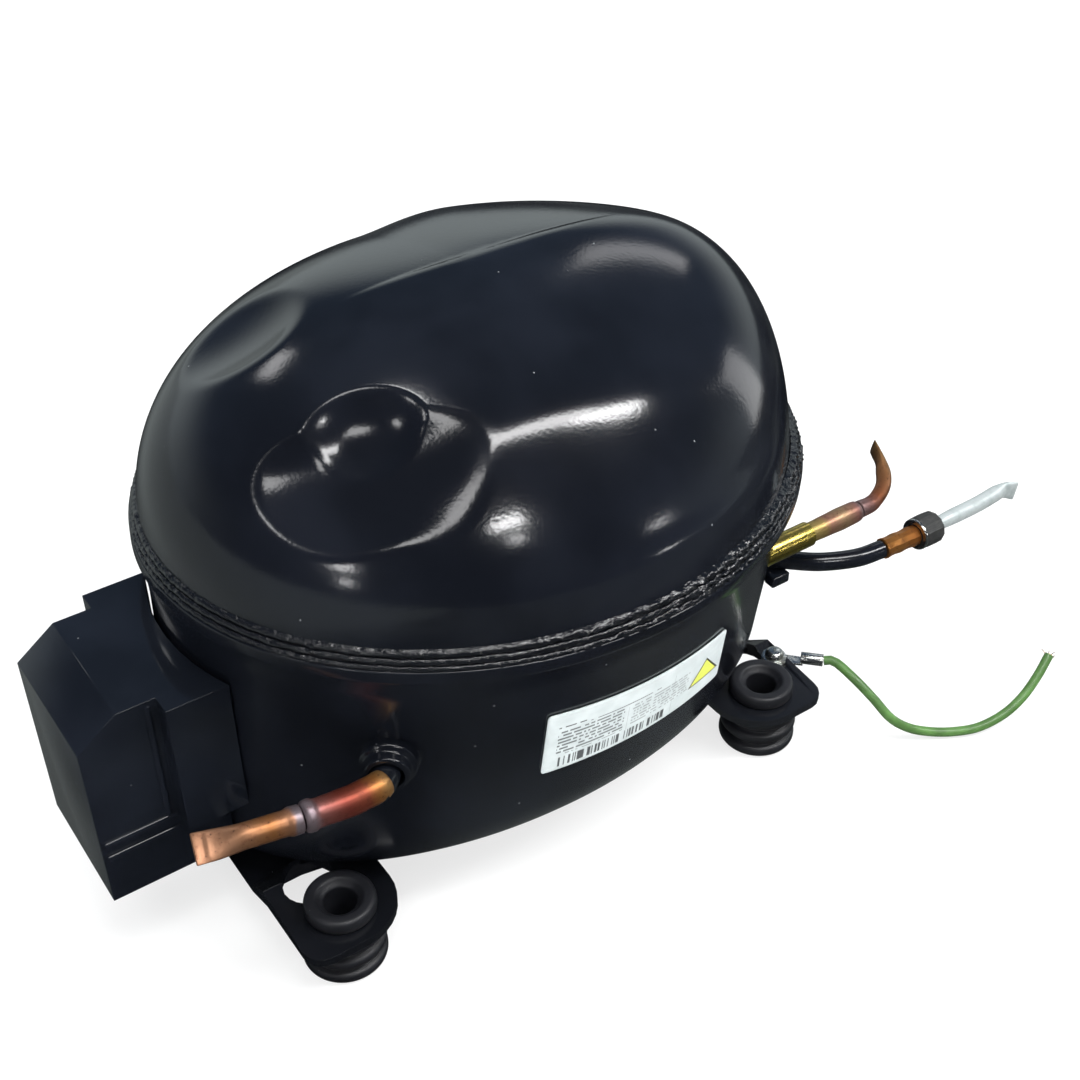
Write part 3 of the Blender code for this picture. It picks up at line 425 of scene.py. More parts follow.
@dataclass(frozen=True)
class Moulded:
    """Moulded plastic or rubber with a fine surface texture."""

    name: str
    colour: Colour
    gloss: float = 0.4
    grain: float = 0.0006
    relief: float = 0.00003
    mottle: float = 0.25

    def build(self) -> bpy.types.Material:
        """Make the material."""
        s = Shader(self.name)
        cloud = s.noise(0.012, 3.0)
        fine = s.noise(self.grain, 1.0)
        darker = tuple(c * (1 - self.mottle) for c in self.colour)
        lighter = tuple(min(1.0, c * (1 + self.mottle)) for c in self.colour)
        base = s.mix(cloud.ramp(0.3, 0.7), darker, lighter)
        dust = s.cells(0.0045).ramp(0.02, 0.05)
        base = s.mix((1 - dust) * 0.25, base, (0.35, 0.35, 0.34))
        return s.finish(Base_Color=base, Roughness=cloud * 0.12 + self.gloss - 0.06,
                        Normal=s.bump(fine, 0.6, self.relief), IOR=1.5)


@dataclass(frozen=True)
class Metal:
    """Bare or plated metal with brushing along one axis and mottled tarnish."""

    name: str
    colour: Colour
    tarnish: Colour
    gloss: float = 0.3
    stretch: Point = (0.06, 1, 1)
    relief: float = 0.00002
    metallic: float = 1.0

    def build(self) -> bpy.types.Material:
        """Make the material."""
        s = Shader(self.name)
        cloud = s.noise(0.005, 4.0, 0.6)
        lines = s.noise(0.0004, 2.0, stretch=self.stretch)
        base = s.mix(cloud.ramp(0.42, 0.72), self.colour, self.tarnish)
        rough = lines * 0.12 + cloud * 0.2 + (self.gloss - 0.14)
        return s.finish(Base_Color=base, Roughness=rough, Metallic=self.metallic,
                        Normal=s.bump(lines, 0.5, self.relief))


@dataclass(frozen=True)
class HeatedCopper:
    """Copper tube whose colour changes along its length where it was brazed.

    The stops go by the place along the row's X axis, measured from the shell's centre line.
    """

    name: str
    stops: tuple[tuple[float, Colour], ...]
    gloss: float = 0.32
    soot: float = 0.42

    def build(self) -> bpy.types.Material:
        """Make the material."""
        s = Shader(self.name)
        x, _, _ = s.axes()
        low, high = self.stops[0][0], self.stops[-1][0]
        wander = (s.noise(0.006, 3.0) - 0.5) * 0.004
        share = (x + wander - (AXIS_X + low)) / (high - low)
        tint = s.node("ShaderNodeValToRGB", {"stops": [
            ((place - low) / (high - low), colour) for place, colour in self.stops]},
            {"Fac": share})
        blotch = s.noise(0.0023, 4.0, 0.65)
        spots = 1 - s.cells(0.0016).ramp(0.10, 0.2)
        base = s.mix(blotch.ramp(0.5, 0.75) * 0.55, tint, (0.16, 0.045, 0.030))
        base = s.mix(spots * blotch.ramp(0.5, 0.6) * 0.7, base, (0.05, 0.025, 0.02))
        base = s.mix(self.soot, base, (0.02, 0.012, 0.01))
        rough = blotch * 0.3 + (self.gloss - 0.06)
        return s.finish(Base_Color=base, Roughness=rough, Metallic=0.85,
                        Normal=s.bump(blotch, 0.35, 0.0002))


@dataclass(frozen=True)
class Knurled:
    """Dark phosphated steel with a fine cross-hatched grip."""

    name: str

    def build(self) -> bpy.types.Material:
        """Make the material."""
        s = Shader(self.name)
        x, y, z = s.axes()
        one = ((x * 1.0 + z * 0.8) * 7500).sine()
        two = ((x * 1.0 - z * 0.8) * 7500).sine()
        height = one * two
        cloud = s.noise(0.002, 3.0)
        base = s.mix(cloud, (0.020, 0.021, 0.022), (0.075, 0.075, 0.072))
        return s.finish(Base_Color=base, Roughness=0.45 + cloud * 0.15, Metallic=0.6,
                        Normal=s.bump(height, 0.4, 0.0001))


@dataclass(frozen=True)
class Laminations:
    """A stack of thin steel sheets, seen as fine level lines."""

    name: str
    sheet: float = 0.0005

    def build(self) -> bpy.types.Material:
        """Make the material."""
        s = Shader(self.name)
        _, _, z = s.axes()
        wave = (z * (math.tau / self.sheet)).sine()
        cloud = s.noise(0.01, 3.0)
        base = s.mix(cloud, (0.20, 0.20, 0.21), (0.34, 0.33, 0.32))
        return s.finish(Base_Color=base, Roughness=0.38 + cloud * 0.15, Metallic=0.9,
                        Normal=s.bump(wave, 0.5, 0.0001))


@dataclass(frozen=True)
class Windings:
    """A bundle of enamelled copper wire, laid round the bore."""

    name: str
    wire: float = 0.0008

    def build(self) -> bpy.types.Material:
        """Make the material."""
        s = Shader(self.name)
        x, y, z = s.axes()
        across = s.math("SQRT", (x - AXIS_X) * (x - AXIS_X) + y * y)
        wander = s.noise(0.012, 2.0) * 0.004
        strands = ((across + z * 0.7 + wander) * (math.tau / self.wire)).sine()
        cloud = s.noise(0.006, 3.0)
        base = s.mix(cloud, (0.30, 0.085, 0.025), (0.50, 0.17, 0.05))
        # Painted shade: the valleys between the strands, where the bump is low, are darkened towards
        # near black.
        base = s.mix((strands * -1.0).ramp(0.2, 1.0) * 0.6, base, (0.08, 0.02, 0.008))
        return s.finish(Base_Color=base, Roughness=0.3, Metallic=0.35, Coat_Weight=0.4,
                        Normal=s.bump(strands, 0.8, 0.0003))


@dataclass(frozen=True)
class Casting:
    """Grey cast iron or die-cast metal with a sandy skin."""

    name: str
    colour: Colour
    grain: float = 0.0012

    def build(self) -> bpy.types.Material:
        """Make the material."""
        s = Shader(self.name)
        sand = s.noise(self.grain, 3.0, 0.6)
        cloud = s.noise(0.015, 2.0)
        base = s.mix(cloud, tuple(0.75 * c for c in self.colour), self.colour)
        return s.finish(Base_Color=base, Roughness=0.45 + sand * 0.25, Metallic=0.8,
                        Normal=s.bump(sand, 0.7, 0.0002))


@dataclass(frozen=True)
class LabelPrint:
    """White film with grey ruled rows, a bar pattern and a plain yellow triangle.

    The print is laid out in millimetres on the label's own UV map, which is in metres.
    """

    name: str = "label_print"
    wide: float = 71.0
    high: float = 30.0

    def build(self) -> bpy.types.Material:
        """Make the material."""
        s = Shader(self.name)
        u, v, _ = s.axes("UV")
        u, v = u * 1000, v * 1000
        ink = self._rows(s, u, v, (4.0, 27.0), (8.0, 20.5), 1.75, 0.7) * 0.8
        ink = ink.larger(self._rows(s, u, v, (4.0, 13.0), (22.4, 24.6), 4.0, 1.2) * 0.9)
        ink = ink.larger(self._rows(s, u, v, (14.5, 41.0), (21.6, 25.4), 8.0, 1.7) * 0.95)
        ink = ink.larger(self._rows(s, u, v, (30.0, 54.0), (9.0, 20.0), 1.7, 0.6) * 0.5)
        bars = s.random((u / 0.38).floor()) > 0.46
        ink = ink.larger(bars * u.band(5.0, 44.0) * v.band(1.6, 6.6) * 0.9)
        rule = (u.band(28.4, 28.6) * v.band(7.0, 20.0)).larger(u.band(46.9, 47.1) * v.band(2, 24))
        ink = ink.larger(rule * 0.35)
        grime = s.noise(0.006, 3.0)
        base = s.mix(grime.ramp(0.3, 0.8), (0.50, 0.55, 0.55), (0.60, 0.65, 0.65))
        base = s.mix(ink, base, (0.03, 0.032, 0.035))
        border = self._triangle(u, v, 0.0)
        inside = self._triangle(u, v, 0.7)
        base = s.mix(border, base, (0.05, 0.05, 0.03))
        base = s.mix(inside, base, (0.66, 0.70, 0.10))
        return s.finish(Base_Color=base, Roughness=0.36 + grime * 0.1,
                        Normal=s.bump(grime, 0.2, 0.0001), IOR=1.5)

    @staticmethod
    def _rows(s: Shader, u: Value, v: Value, across: tuple[float, float],
              up: tuple[float, float], pitch: float, dash: float) -> Value:
        """Rows of short random dashes inside a box: ruled filler and no lettering.

        Args:
            s: The shader.
            u: How far along the label, in millimetres.
            v: How far up it.
            across: The box's ends along the label.
            up: The box's ends up the label.
            pitch: The spacing of the rows.
            dash: The length of a dash.

        Returns:
            1 on a dash.
        """
        row = (v / pitch).floor()
        drawn = s.random((u / dash).floor(), row) > 0.3
        line = (v / pitch).fraction().band(0.25, 0.75)
        return drawn * line * u.band(*across) * v.band(*up)

    def _triangle(self, u: Value, v: Value, inset: float) -> Value:
        """1 inside an upright triangle at the label's right end.

        Args:
            u: How far along the label, in millimetres.
            v: How far up it.
            inset: How far the triangle's sides are moved in.

        Returns:
            The mask.
        """
        x, y = abs(u - (self.wide - 9.0)), v - 8.0
        slope = math.sqrt(3)
        side = 15.2 / 2
        return (y > inset) * ((x * slope + y) < (side * slope - 2 * inset))


@dataclass(frozen=True)
class Insulation:
    """Green wire insulation with a soft sheen and handling marks."""

    name: str = "wire_insulation"
    colour: Colour = (0.05, 0.115, 0.028)

    def build(self) -> bpy.types.Material:
        """Make the material."""
        s = Shader(self.name)
        cloud = s.noise(0.008, 3.0)
        lighter = tuple(min(1.0, 1.6 * c) for c in self.colour)
        base = s.mix(cloud.ramp(0.4, 0.75), self.colour, lighter)
        fine = s.noise(0.0007, 1.0)
        return s.finish(Base_Color=base, Roughness=0.33 + cloud * 0.1, IOR=1.5,
                        Normal=s.bump(fine, 0.3, 0.00005))


# ------------------------------------------------------------------ mesh building


class Rim(Enum):
    """How a tube ends."""

    OPEN = "open"
    CLOSED = "closed"


def turned(profile: Sequence[tuple[float, float]], steps: int = 96) -> bmesh.types.BMesh:
    """Spin a profile of (radius, height) points about Z.

    Args:
        profile: The points in order; a ring's profile ends on its first point.
        steps: How many facets go round.

    Returns:
        The turned shape.
    """
    bm = bmesh.new()
    verts = [bm.verts.new((r, 0.0, z)) for r, z in profile]
    edges = [bm.edges.new(pair) for pair in zip(verts, verts[1:])]
    bmesh.ops.spin(bm, geom=verts + edges, cent=(0, 0, 0), axis=(0, 0, 1), angle=math.tau,
                   steps=steps, use_merge=True)
    bmesh.ops.remove_doubles(bm, verts=bm.verts, dist=1e-6)
    bmesh.ops.recalc_face_normals(bm, faces=bm.faces)
    return bm


def rounded(profile: Sequence[Point], arc: int = 5) -> list[tuple[float, float]]:
    """Round the corners of a profile.

    Args:
        profile: (radius, height, corner) points; a corner of 0 stays sharp.
        arc: Points along each rounded corner.

    Returns:
        The profile's points.
    """
    out = []
    for i, (r, z, corner) in enumerate(profile):
        here = Vector((r, z))
        if corner == 0 or i in (0, len(profile) - 1):
            out.append((r, z))
            continue
        before, after = Vector(profile[i - 1][:2]), Vector(profile[i + 1][:2])
        reach = min(corner, (before - here).length / 2.05, (after - here).length / 2.05)
        start = here + (before - here).normalized() * reach
        end = here + (after - here).normalized() * reach
        for k in range(arc + 1):
            t = k / arc
            p = start * (1 - t) ** 2 + here * 2 * t * (1 - t) + end * t * t
            out.append((p.x, p.y))
    return out


def towards(axis: Vector, origin: Vector) -> Matrix:
    """The matrix that takes Z to an axis and the origin to a point."""
    return Matrix.Translation(origin) @ axis.to_track_quat("Z", "Y").to_matrix().to_4x4()


def moved(bm: bmesh.types.BMesh, matrix: Matrix) -> bmesh.types.BMesh:
    """Transform a whole mesh."""
    bmesh.ops.transform(bm, matrix=matrix, verts=bm.verts)
    return bm


def curve_through(points: Sequence[Sequence[float]], spacing: float) -> list[Vector]:
    """Points at an even spacing on the smooth curve through some points.

    Args:
        points: The points that the curve goes through.
        spacing: The distance between the points that are wanted.

    Returns:
        The points.
    """
    knots = [Vector(p) for p in points]
    knots = [2 * knots[0] - knots[1]] + knots + [2 * knots[-1] - knots[-2]]
    dense = []
    for a, b, c, d in zip(knots, knots[1:], knots[2:], knots[3:]):
        for k in range(40):
            t = k / 40
            dense.append(0.5 * (2 * b + (c - a) * t + (2 * a - 5 * b + 4 * c - d) * t * t
                                + (3 * b - a - 3 * c + d) * t ** 3))
    dense.append(knots[-2])
    length = sum((q - p).length for p, q in zip(dense, dense[1:]))
    count = max(2, round(length / spacing))
    out, gone, want = [dense[0]], 0.0, length / count
    for p, q in zip(dense, dense[1:]):
        step = (q - p).length
        while gone + step >= want - 1e-12 and len(out) < count:
            out.append(p.lerp(q, (want - gone) / step))
            want += length / count
        gone += step
    out.append(dense[-1])
    return out


def along(share: float, stops: Stops) -> float:
    """A value read from (share, value) stops, eased between them.

    Args:
        share: Where to read it.
        stops: The stops, in order.

    Returns:
        The value.
    """
    if share <= stops[0][0]:
        return stops[0][1]
    for (a, low), (b, high) in zip(stops, stops[1:]):
        if share <= b:
            return mix(low, high, smooth((share - a) / (b - a)))
    return stops[-1][1]


@dataclass
class Section:
    """A tube's cross-section at one place along it: half sizes on its two cross axes."""

    across: float
    through: float


@dataclass(frozen=True)
class Taper:
    """A tube's radius along it, and how much wider or flatter it is pressed, as stops."""

    radius: Stops
    across: Stops = ((0.0, 1.0),)
    through: Stops = ((0.0, 1.0),)

    def __call__(self, share: float) -> Section:
        """The cross-section at a share of the way along."""
        radius = along(share, self.radius)
        return Section(radius * along(share, self.across), radius * along(share, self.through))


def even(radius: float) -> Taper:
    """A round tube of one radius."""
    return Taper(((0.0, radius),))


def swept(route: Sequence[Vector], section: Callable[[float], Section], flat_way: Vector,
          steps: int = 32, wall: float = 0.0008, rim: Rim = Rim.OPEN) -> bmesh.types.BMesh:
    """Sweep a ring along a route.

    Args:
        route: The centreline.
        section: The half sizes at a share of the way along.
        flat_way: The direction that the through size is measured in.
        steps: How many facets go round.
        wall: The wall's thickness at an open end.
        rim: Whether the ends are open, with a bore, or closed.

    Returns:
        The swept shape.
    """
    bm = bmesh.new()
    made = bmesh.ops.create_circle(bm, segments=steps, radius=1.0, cap_ends=False)
    ring = made["verts"]
    unit = [v.co.copy() for v in ring]
    total = len(route) - 1

    def lay(verts: Sequence[bmesh.types.BMVert], i: int, shrink: float, back: float) -> None:
        """Place a ring at a station, shrunk towards the centreline and moved along it.

        Args:
            verts: The ring.
            i: The station.
            shrink: How much smaller the ring is than the section.
            back: How far it is moved along the route.
        """
        ahead = route[min(i + 1, total)] - route[max(i - 1, 0)]
        ahead.normalize()
        side = ahead.cross(flat_way).normalized()
        up = side.cross(ahead).normalized()
        size = section(i / total)
        for v, u in zip(verts, unit):
            v.co = (route[i] + ahead * back + side * u.x * max(size.across - shrink, 1e-4)
                    + up * u.y * max(size.through - shrink, 1e-4))

    def grow(verts: list[bmesh.types.BMVert]) -> list[bmesh.types.BMVert]:
        """Extrude a ring's edges.

        Args:
            verts: The ring.

        Returns:
            The new ring, in the same order.
        """
        edges = [bm.edges.get((a, b)) for a, b in zip(verts, verts[1:] + verts[:1])]
        extruded = bmesh.ops.extrude_edge_only(bm, edges=edges)
        fresh = {v for v in extruded["geom"] if isinstance(v, bmesh.types.BMVert)}
        return [next(e.other_vert(v) for e in v.link_edges if e.other_vert(v) in fresh)
                for v in verts]

    soft = min(0.25 * wall + 0.0001, 0.0004)
    lay(ring, 0, wall if rim is Rim.OPEN else soft, 0.0)
    first = list(ring)
    for i in range(total + 1):
        stations = [(0.0, 0.0)]
        if i == 0:
            stations = [(soft, 0.0), (0.0, soft)]
        if i == total:
            stations = [(0.0, -soft), (soft, 0.0)]
        for shrink, back in stations:
            ring = grow(ring)
            lay(ring, i, shrink, back)
    if rim is Rim.OPEN:
        depth = min(3, total)
        for i in (total, total - depth):
            ring = grow(ring)
            lay(ring, i, wall, 0.0)
    bm.faces.new(ring)
    bm.faces.new(first)
    bmesh.ops.recalc_face_normals(bm, faces=bm.faces)
    return bm


def copied(node: str, bevel: float, segments: int = 3, angle: float = 25.0) -> bmesh.types.BMesh:
    """A CAD node's shape with its edges rounded.

    Args:
        node: The CAD node.
        bevel: The rounding's width.
        segments: The rounding's facets.
        angle: Edges that turn by more than this many degrees are rounded.

    Returns:
        The rounded shape, in the row frame.
    """
    bm = bmesh.new()
    bm.from_mesh(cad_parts[node].data)
    bmesh.ops.remove_doubles(bm, verts=bm.verts, dist=2e-6)
    bmesh.ops.dissolve_limit(bm, angle_limit=math.radians(0.6), verts=bm.verts, edges=bm.edges)
    sharp = [e for e in bm.edges if len(e.link_faces) == 2
             and e.calc_face_angle(0.0) > math.radians(angle)]
    bmesh.ops.bevel(bm, geom=sharp, offset=bevel, offset_type="OFFSET", segments=segments,
                    profile=0.5, affect="EDGES", clamp_overlap=True, material=-1)
    return bm


def placed(name: str, bm: bmesh.types.BMesh, body: str, material: bpy.types.Material,
           replaces: Iterable[str] = (), sharp: float = 35.0,
           centred: bool = True) -> bpy.types.Object:
    """Turn a mesh into a piece of the compressor.

    Args:
        name: The piece's name.
        bm: Its mesh, about the shell's centre line unless centred is false.
        body: The CAD body that it rides on.
        material: Its finish.
        replaces: The CAD nodes that it stands for.
        sharp: Edges that turn by more than this many degrees are shaded sharp.
        centred: Whether the mesh still has to be moved to the row frame.

    Returns:
        The piece.
    """
    if centred:
        moved(bm, Matrix.Translation((AXIS_X, 0, 0)))
    mesh = bpy.data.meshes.new(name)
    bm.to_mesh(mesh)
    bm.free()
    mesh.shade_smooth()
    mesh.set_sharp_from_angle(angle=math.radians(sharp))
    mesh.materials.append(material)
    piece = bpy.data.objects.new(name, mesh)
    bpy.context.scene.collection.objects.link(piece)
    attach(piece, body)
    nodes = list(replaces)
    if nodes:
        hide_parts(*nodes)
    LOG.info("%s: %d faces", name, len(mesh.polygons))
    return piece


# ------------------------------------------------------------------------- shell


@dataclass(frozen=True)
class Press:
    """A shallow oval dent, as deep as it says at its middle."""

    x: float
    y: float
    long: float
    short: float
    turn: float
    depth: float
    edge: float = 0.25

    def amount(self, x: float, y: float) -> float:
        """How deep the dent is at a place in plan.

        Args:
            x: The place's X.
            y: Its Y.

        Returns:
            The depth.
        """
        c, s = math.cos(self.turn), math.sin(self.turn)
        u = ((x - self.x) * c + (y - self.y) * s) / self.long
        v = ((y - self.y) * c - (x - self.x) * s) / self.short
        level = 1 - (u * u + v * v)
        if level > self.edge:
            return self.depth * level
        if level < -self.edge:
            return 0.0
        return self.depth * (level + self.edge) ** 2 / (4 * self.edge)


@dataclass(frozen=True)
class Slope:
    """A plane that trims the lid: its height over a point, and its rise along X and Y."""

    x: float
    y: float
    z: float
    rise_x: float
    rise_y: float

    def height(self, x: float, y: float) -> float:
        """The plane's height at a place in plan."""
        return self.z + self.rise_x * (x - self.x) + self.rise_y * (y - self.y)


@dataclass
class Shell:
    """The oval lid, the tapering cup under it, and the welded seam between them."""

    half_length: float = 0.1042
    half_width: float = 0.0929
    seam: float = 0.1249
    lid: float = 0.0691
    power_left: float = 2.22
    power_right: float = 3.45
    power_side: float = 1.98
    power_rear: float = 2.30
    neck: float = 0.0024
    bottom: float = 0.0078
    widen: float = 0.06
    taper: float = 0.335
    corner: float = 0.0383
    flare: float = 0.0028
    wall: float = 0.0028
    around: int = 256
    rows: int = 100
    pocket_floor: Slope = Slope(0.0, 0.0, 0.2205, 0.5332, 0.4808)
    pocket_rim: Slope = Slope(0.0, 0.0, 0.2203, 0.4533, 0.4930)
    bowl_x: float = -0.0565
    bowl_y: float = -0.0370
    bowl_long: float = 0.0168
    bowl_short: float = 0.0114
    bowl_depth: float = 0.0056
    bowl_power: float = 2.0
    facet_x: float = -0.0630
    facet_y: float = -0.0486
    facet_long: float = 0.0235
    facet_short: float = 0.0102
    facet_depth: float = 0.0007
    facet_power: float = 4.0
    pocket_turn: float = -0.52
    fine_x: tuple[float, float] = (-0.094, -0.028)
    fine_y: tuple[float, float] = (-0.078, -0.014)
    ridge: float = 0.0016
    rear_fall: Slope = Slope(0.0, 0.006, 0.1935, 0.0, -0.22)
    presses: tuple[Press, ...] = (
        Press(-0.0620, 0.0235, 0.0180, 0.0190, 0.0, 0.0046, 0.30),
        Press(0.0450, 0.0300, 0.0400, 0.0260, -0.5, 0.0016, 0.6),
        Press(0.0250, -0.0960, 0.0800, 0.0330, 0.0, 0.0032, 0.7),
    )

    def half_at(self, k: float, cosine: float, sine: float) -> tuple[float, float]:
        """The lid's half length and half width at a share of its height.

        Args:
            k: The share of the lid's height.
            cosine: The cosine of the angle round the lid.
            sine: The sine of that angle.

        Returns:
            The half length and the half width in that direction.
        """
        def fall(power: float) -> float:
            """Superellipse fall."""
            return max(0.0, 1 - k ** power) ** (1 / power)
        lean = smooth((cosine + 0.3) / 0.6)
        long = self.half_length * mix(fall(self.power_left), fall(self.power_right), lean)
        rear = smooth(sine) * smooth((cosine + 0.05) / 0.4)
        return long, self.half_width * fall(mix(self.power_side, self.power_rear, rear))

    def lid_point(self, angle: float, k: float) -> Vector:
        """A point of the lid's skin, with its pockets and dents.

        Args:
            angle: The angle round the lid.
            k: The share of the lid's height.

        Returns:
            The point.
        """
        c, s = math.cos(angle), math.sin(angle)
        long, wide = self.half_at(k, c, s)
        neck = min(self.neck, 0.3 * long) * (1 - math.exp(-k / 0.05)) * max(0.0, c)
        x, y, z = (long - neck) * c, (wide - neck) * s, self.seam + self.lid * k
        if k > 0.25:
            z = self.pressed(x, y, z, smooth((k - 0.25) / 0.15))
        return Vector((x, y, z))

    def pressed(self, x: float, y: float, z: float, share: float) -> float:
        """The lid's height once the pockets and dents are pressed in.

        Args:
            x: The place's X.
            y: Its Y.
            z: The plain lid's height there.
            share: How much of the ridge and the dents is wanted.

        Returns:
            The height.
        """
        crown = math.exp(-(((y + 0.060 + 0.10 * x) / 0.010) ** 2))
        crown *= smooth((x + 0.050) / 0.020) * smooth((0.045 - x) / 0.030)
        z += self.ridge * crown * share
        z -= share * sum(p.amount(x, y) for p in self.presses)
        z = soft_min(z, self.rear_fall.height(x, y) + 0.5 * max(0.0, 0.006 - y), 0.0040)
        facet = self._inside(x - self.facet_x, y - self.facet_y, self.facet_long,
                             self.facet_short, self.facet_power)
        floor = self.pocket_floor.height(x, y) - self.facet_depth * (1 - facet ** 4)
        edge = mix(0.0018, 0.0042, smooth((x + 0.062) / 0.016))
        flat = soft_min(z, floor, edge)
        ring = self._inside(x - self.bowl_x, y - self.bowl_y, self.bowl_long, self.bowl_short,
                            self.bowl_power)
        bowl = self.pocket_rim.height(x, y) - self.bowl_depth * (1 - ring ** 3)
        crest = mix(0.0022, 0.0016, smooth((z - floor) / 0.0015))
        return soft_min(flat, bowl, crest)

    def _inside(self, x: float, y: float, long: float, short: float, power: float) -> float:
        """How far out a place is in a rounded oval that is turned with the pocket.

        Args:
            x: The place's X from the oval's middle.
            y: Its Y from the oval's middle.
            long: The oval's half length.
            short: The oval's half width.
            power: 2 for an ellipse, more for a squarer shape.

        Returns:
            0 at the middle and 1 at the rim.
        """
        c, s = math.cos(self.pocket_turn), math.sin(self.pocket_turn)
        u, v = abs(x * c + y * s) / long, abs(y * c - x * s) / short
        return (u ** power + v ** power) ** (1 / power)

    def cup_half(self, z: float) -> tuple[float, float]:
        """The cup's half length and half width at a height.

        Args:
            z: The height.

        Returns:
            The half length and the half width.
        """
        down = (self.seam - z) / (self.seam - self.bottom)
        above = max(0.0, z - self.bottom)
        loss = 0.0
        if above < self.corner:
            share = (self.corner - above) / self.corner
            loss = self.corner * (1 - math.sqrt(max(0.0, 1 - share * share)))
        return (self.half_length * (1 + self.widen * down) - loss,
                self.half_width * (1 - self.taper * down) - loss)

    def side(self, x: float, z: float, out: float = 0.0) -> Vector:
        """A point on the front of the cup, or a little outside it.

        Args:
            x: The point's X.
            z: Its height.
            out: How far outside the cup it is.

        Returns:
            The point.
        """
        long, wide = self.cup_half(z)
        y = -wide * math.sqrt(max(0.0, 1 - (x / long) ** 2))
        normal = Vector((x / long ** 2, y / wide ** 2, 0)).normalized()
        return Vector((x, y, z)) + normal * out

    def build(self) -> None:
        """Make the lid, the cup and the weld."""
        self._lid()
        self._cup()
        self._weld()

    def _lid(self) -> None:
        """Spin a quarter arc and press it to the lid's shape."""
        top = math.radians(88.2)
        arc = [(math.cos(top * i / self.rows), math.sin(top * i / self.rows))
               for i in range(self.rows + 1)]
        bm = turned(arc + [(0.0, 1.0)], self.around)
        fine = set()
        for face in bm.faces:
            middle = face.calc_center_median()
            x, y = middle.x * self.half_length, middle.y * self.half_width
            near = self.fine_x[0] < x < self.fine_x[1] and self.fine_y[0] < y < self.fine_y[1]
            if near and middle.z > 0.3:
                fine.update(face.edges)
        bmesh.ops.subdivide_edges(bm, edges=list(fine), cuts=3, use_grid_fill=True)
        for v in bm.verts:
            k = min(1.0, max(0.0, v.co.normalized().z))
            v.co = self.lid_point(math.atan2(v.co.y, v.co.x), k)
        piece = placed("upper_shell_skin", bm, "shell",
                       Enamel("lid_enamel").build(), ["upper_shell"], sharp=60)
        thicken(piece, self.wall)

    def _cup(self) -> None:
        """Spin the cup's section and shape it to the taper, the bend and the rim."""
        lip = self.flare
        levels = [0.1150, 0.1110, 0.1060] + [0.1000 - 0.006 * i for i in range(10)]
        levels += [self.bottom + self.corner * (1 - math.sin(math.radians(6 * i)))
                   for i in range(1, 16)]
        rim = rounded([(-0.0004, self.seam + 0.0016, 0), (lip, self.seam + 0.0014, 0.0006),
                       (lip + 0.0002, self.seam - 0.0034, 0.0010), (0.0002, 0.1208, 0.0006),
                       (0.0, 0.1198, 0)])
        profile = [(1 + out, z) for out, z in rim] + [(1.0, z) for z in levels]
        bm = turned(profile + [(0.0, self.bottom)], self.around)
        for v in bm.verts:
            flat = math.hypot(v.co.x, v.co.y)
            if flat < 1e-6:
                continue
            z = max(v.co.z, self.bottom)
            long, wide = self.cup_half(min(z, self.seam))
            bend = 0.0007 * math.exp(-(((z - 0.1135) / 0.0030) ** 2))
            out = flat - 1 + bend
            v.co.x, v.co.y = ((long + out) * v.co.x / flat, (wide + out) * v.co.y / flat)
            v.co.z = z
        piece = placed("lower_shell_skin", bm, "shell",
                       Enamel("cup_enamel", gloss=0.13, peel=0.35).build(), ["lower_shell"],
                       sharp=50)
        thicken(piece, self.wall)

    def _weld(self) -> None:
        """Three rippled beads stepping out from the lid to the cup's lip."""
        z = self.seam
        beads = ((0.0002, z + 0.0056, 0.0012), (0.0010, z + 0.0036, 0.0012),
                 (0.0018, z + 0.0018, 0.0011))
        profile = [(-0.0016, z + 0.0074)]
        for out, middle, radius in beads:
            for i in range(7):
                t = math.radians(75 - 150 * i / 6)
                profile.append((out + radius * math.cos(t) - radius * 0.35,
                                middle + radius * math.sin(t)))
        profile += [(-0.0004, z + 0.0004), (-0.0016, z + 0.0004), (-0.0016, z + 0.0074)]
        bm = turned([(1 + out, height) for out, height in profile], 560)
        for v in bm.verts:
            flat = math.hypot(v.co.x, v.co.y)
            angle = math.atan2(v.co.y, v.co.x)
            out = flat - 1
            if out > -0.0015:
                rough = mix(0.0003, 0.0009, smooth((math.cos(angle + 0.95) - 0.45) / 0.35))
                place = Vector((math.cos(angle) * 60, math.sin(angle) * 60, v.co.z * 900))
                out += rough * noise.noise(place) + 0.0002 * noise.noise(place * 3)
                v.co.z += 0.6 * rough * noise.noise(place * 0.7 + Vector((9, 4, 2)))
            v.co.x = (self.half_length + out) * v.co.x / flat
            v.co.y = (self.half_width + out) * v.co.y / flat
        placed("weld_beads", bm, "shell", WeldEnamel("weld_enamel").build(),
               ["weld_bead"], sharp=60)


def thicken(piece: bpy.types.Object, wall: float) -> None:
    """Give a skin its sheet thickness, inwards.

    Args:
        piece: The skin.
        wall: The thickness.
    """
    solidify = piece.modifiers.new("sheet", "SOLIDIFY")
    solidify.thickness = wall
    solidify.offset = -1.0


